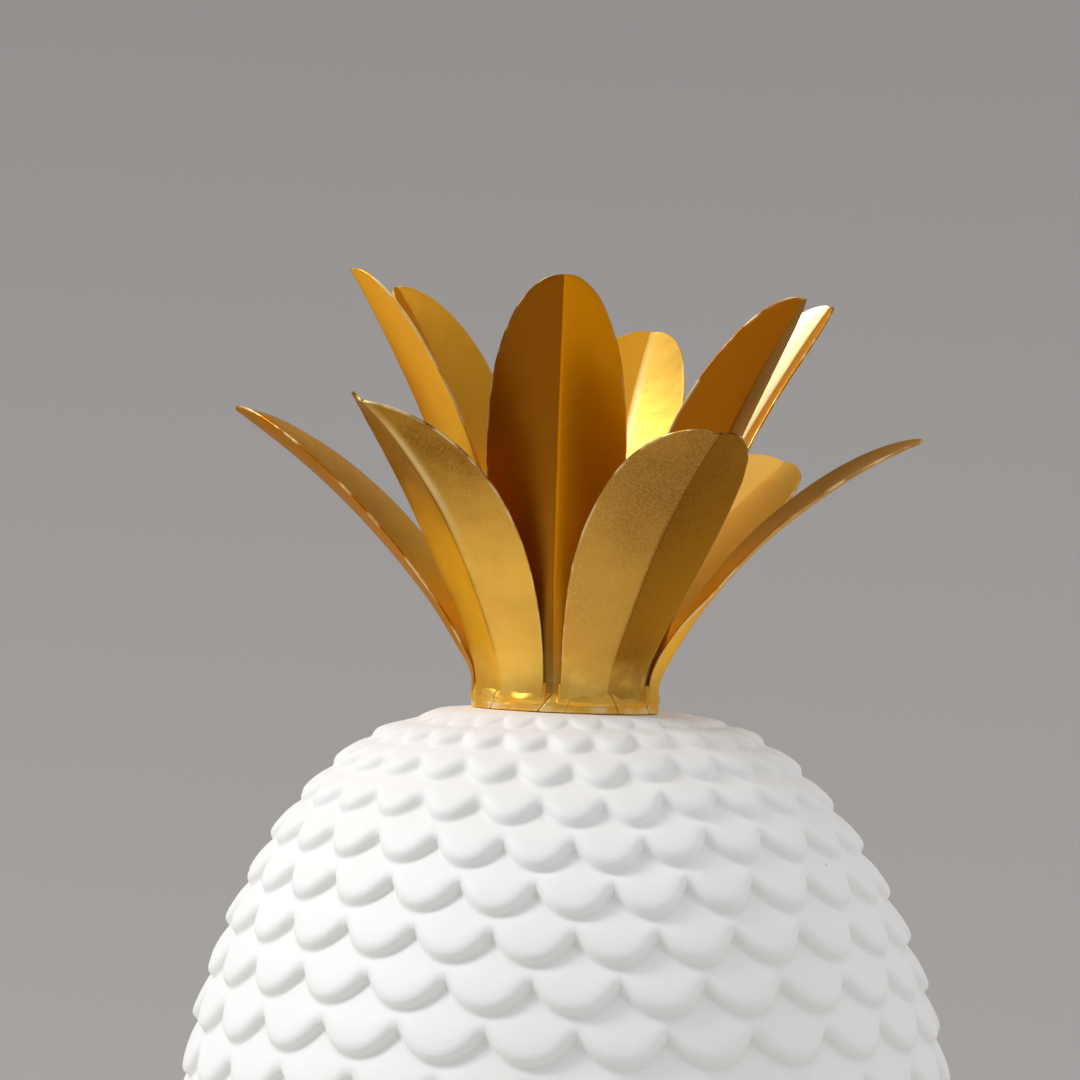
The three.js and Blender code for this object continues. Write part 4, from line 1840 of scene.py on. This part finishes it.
@dataclass
class FeltPads:
    """Four felt discs under the foot ring, laid out by one rule.

    Attributes:
        count: how many there are.
        reach: their distance from the axis.
        radius: a disc's radius.
        thickness: its thickness.
        edge: the rounding of its edges.
        segments: steps round a disc.
    """

    count: int = 4
    reach: float = 32.4 * MM
    radius: float = 3.0 * MM
    thickness: float = 1.0 * MM
    edge: float = 0.25 * MM
    segments: int = 48

    def disc(self) -> bpy.types.Mesh:
        """Makes one disc with softened edges.

        Returns:
            The mesh, on the origin.
        """
        high, r, e = self.thickness, self.radius, self.edge
        profile = [
            (r - 2 * e, 0.0), (r - e, 0.0), (r - 0.3 * e, 0.3 * e), (r, e), (r, high - e),
            (r - 0.3 * e, high - 0.3 * e), (r - e, high), (r - 2 * e, high),
        ]
        points, faces = turned(profile, self.segments)
        last = (len(profile) - 1) * self.segments
        faces += [range(self.segments)[::-1], range(last, last + self.segments)]
        return mesh_from("felt_disc", points, faces)

    def tree(self, finish: bpy.types.Material) -> bpy.types.NodeTree:
        """Builds the tree that repeats a disc round the foot.

        Args:
            finish: the felt.

        Returns:
            The node tree.
        """
        tree = bpy.data.node_groups.new("pad_ring", "GeometryNodeTree")
        tree.interface.new_socket("disc", in_out="INPUT", socket_type="NodeSocketGeometry")
        for name, kind, value in (
            ("count", "NodeSocketInt", self.count), ("reach", "NodeSocketFloat", self.reach),
        ):
            tree.interface.new_socket(name, in_out="INPUT", socket_type=kind).default_value = value
        tree.interface.new_socket("pads", in_out="OUTPUT", socket_type="NodeSocketGeometry")
        disc, count, reach = add_node(tree, "NodeGroupInput").outputs[:3]
        ring = add_node(tree, "GeometryNodeMeshCircle", {"Vertices": count, "Radius": reach})
        between = {"Rotation": (0, 0, math.pi / self.count)}
        points = lead(ring.outputs["Mesh"], [("GeometryNodeTransform", between)])
        copies = add_node(tree, "GeometryNodeInstanceOnPoints", {"Points": points, "Instance": disc})
        pads = lead(copies.outputs["Instances"], (
            ("GeometryNodeRealizeInstances", {}),
            ("GeometryNodeSetMaterial", {"Material": finish}),
        ))
        add_node(tree, "NodeGroupOutput", {"pads": pads})
        return tree

    def build(self) -> bpy.types.Object:
        """Builds the pads.

        Returns:
            The four pads as one piece.
        """
        pads = object_from("felt_pads", self.disc())
        pads.modifiers.new("ring", "NODES").node_group = self.tree(Felt().make())
        pads = applied(pads)
        finish_mesh(pads.data, 50)
        return pads


@dataclass
class Studio:
    """A plain pale floor that rises into a bowl, one soft window lamp and the camera.

    Attributes:
        floor_radius: the flat floor.
        bowl_radius: the bowl's wall.
        bowl_height: how high the wall goes.
        segments: steps round the bowl.
        floor_tone: the floor's colour.
        wall_tone: the wall's colour.
        lamp_power: the window lamp, in watts.
        lamp_size: its width and height.
        lamp_azimuth: where it hangs, 0 in front and a quarter turn to the right.
        lamp_elevation: how high it hangs.
        lamp_distance: how far from the crown.
        crown_level: the level that it looks at.
        room_light: the world's light at the horizon.
        ceiling_light: how much brighter it is straight above.
        wall_light: how much brighter it is on the right, across from the window.
        window_light: how much brighter it is round the window, on the left.
        lens: the camera's focal length, in millimetres.
        film: the width of its film, in millimetres.
        camera_place: where it stands.
        camera_way: which way it looks.
    """

    floor_radius: float = 0.8
    bowl_radius: float = 2.6
    bowl_height: float = 3.2
    segments: int = 96
    floor_tone: Tone = (0.64, 0.63, 0.615)
    wall_tone: Tone = (0.385, 0.368, 0.36)
    lamp_power: float = 7.9
    lamp_size: tuple[float, float] = (0.3, 0.6)
    lamp_azimuth: float = math.radians(-82)
    lamp_elevation: float = math.radians(44)
    lamp_distance: float = 1.2
    crown_level: float = 170 * MM
    room_light: float = 0.29
    ceiling_light: float = 0.56
    wall_light: float = 0.36
    window_light: float = 0.16
    lens: float = 130.5
    film: float = 36.0
    camera_place: tuple[float, float, float] = (0.0, -704.7 * MM, 202.7 * MM)
    camera_way: tuple[float, float, float] = (-24.6 / 3915, 1.0, 40 / 3915)

    def floor(self) -> None:
        """Makes the floor and the bowl, which throws no light or shadow on the figurine."""
        rise = self.bowl_radius - self.floor_radius
        profile = [(0.001, 0.0), (self.floor_radius / 2, 0.0), (self.floor_radius, 0.0)]
        for angle in np.radians(np.arange(5, 91, 5)):
            profile.append((
                self.floor_radius + rise * math.sin(angle), rise * (1 - math.cos(angle)),
            ))
        profile.append((self.bowl_radius, self.bowl_height))
        points, faces = turned(profile, self.segments)
        flat = 2 * self.segments
        for title, tone, wanted in (
            ("floor", self.floor_tone, [*faces[:flat], range(self.segments)]),
            ("bowl", self.wall_tone, faces[flat:]),
        ):
            plain = Shader(f"plain_{title}")
            shader = plain.tree.nodes["Principled BSDF"]
            fill(shader, {"Base Color": (*tone, 1.0), "Roughness": 0.9})
            part = object_from(title, mesh_from(title, points, wanted))
            part.data.shade_smooth()
            part.data.materials.append(plain.material)
            part.visible_shadow = part.visible_diffuse = title == "floor"

    def window(self) -> None:
        """Hangs the soft lamp of the window, which looks at the figurine."""
        data = bpy.data.lights.new("window", "AREA")
        data.energy = self.lamp_power
        data.shape = "RECTANGLE"
        data.size, data.size_y = self.lamp_size
        level = math.cos(self.lamp_elevation)
        way = Vector((
            math.sin(self.lamp_azimuth) * level, -math.cos(self.lamp_azimuth) * level,
            math.sin(self.lamp_elevation),
        ))
        lamp = bpy.data.objects.new("window", data)
        lamp.location = Vector((0, 0, self.crown_level)) + way * self.lamp_distance
        lamp.rotation_euler = way.to_track_quat("Z", "Y").to_euler()
        bpy.context.scene.collection.objects.link(lamp)

    def room(self) -> None:
        """Sets the even light of a room with a pale ceiling and wall."""
        world = bpy.data.worlds.new("studio")
        world.use_nodes = True
        tree = world.node_tree
        place = add_node(tree, "ShaderNodeTexCoord").outputs["Generated"]
        split = add_node(tree, "ShaderNodeSeparateXYZ", {"Vector": place})
        sideways, _, up = (Value(output) for output in split.outputs)
        level = self.room_light + up.smooth(0.1, 0.8) * self.ceiling_light
        level = level + sideways.smooth(0.25, 0.85) * self.wall_light
        level = level + (-sideways).smooth(0.3, 0.9) * self.window_light
        fill(tree.nodes["Background"], {"Strength": level, "Color": (1.0, 1.0, 1.0, 1.0)})
        bpy.context.scene.world = world

    def camera(self) -> None:
        """Sets the camera where the photograph was taken from."""
        data = bpy.data.cameras.new("camera")
        data.lens = self.lens
        data.sensor_width = self.film
        data.clip_end = 20.0
        camera = bpy.data.objects.new("camera", data)
        camera.location = self.camera_place
        camera.rotation_euler = Vector(self.camera_way).to_track_quat("-Z", "Y").to_euler()
        bpy.context.scene.collection.objects.link(camera)
        bpy.context.scene.camera = camera

    def build(self) -> None:
        """Builds the studio."""
        self.floor()
        self.window()
        self.room()
        self.camera()
        bpy.context.scene.view_settings.view_transform = "Standard"


def main() -> None:
    """Builds the studio and the figurine, piece by piece."""
    logging.basicConfig(level=logging.INFO, format="%(name)s: %(message)s")
    Studio().build()
    body = CeramicBody()
    keep(body.build(MattGlaze().make()), ["body_shell"])
    Crown().build(body.seat.matrix(body.outline))
    pads = FeltPads()
    nodes = [f"foot_pad_{i + 1}" for i in range(pads.count)]
    keep(pads.build(), nodes)


if __name__ == "__main__":
    main()
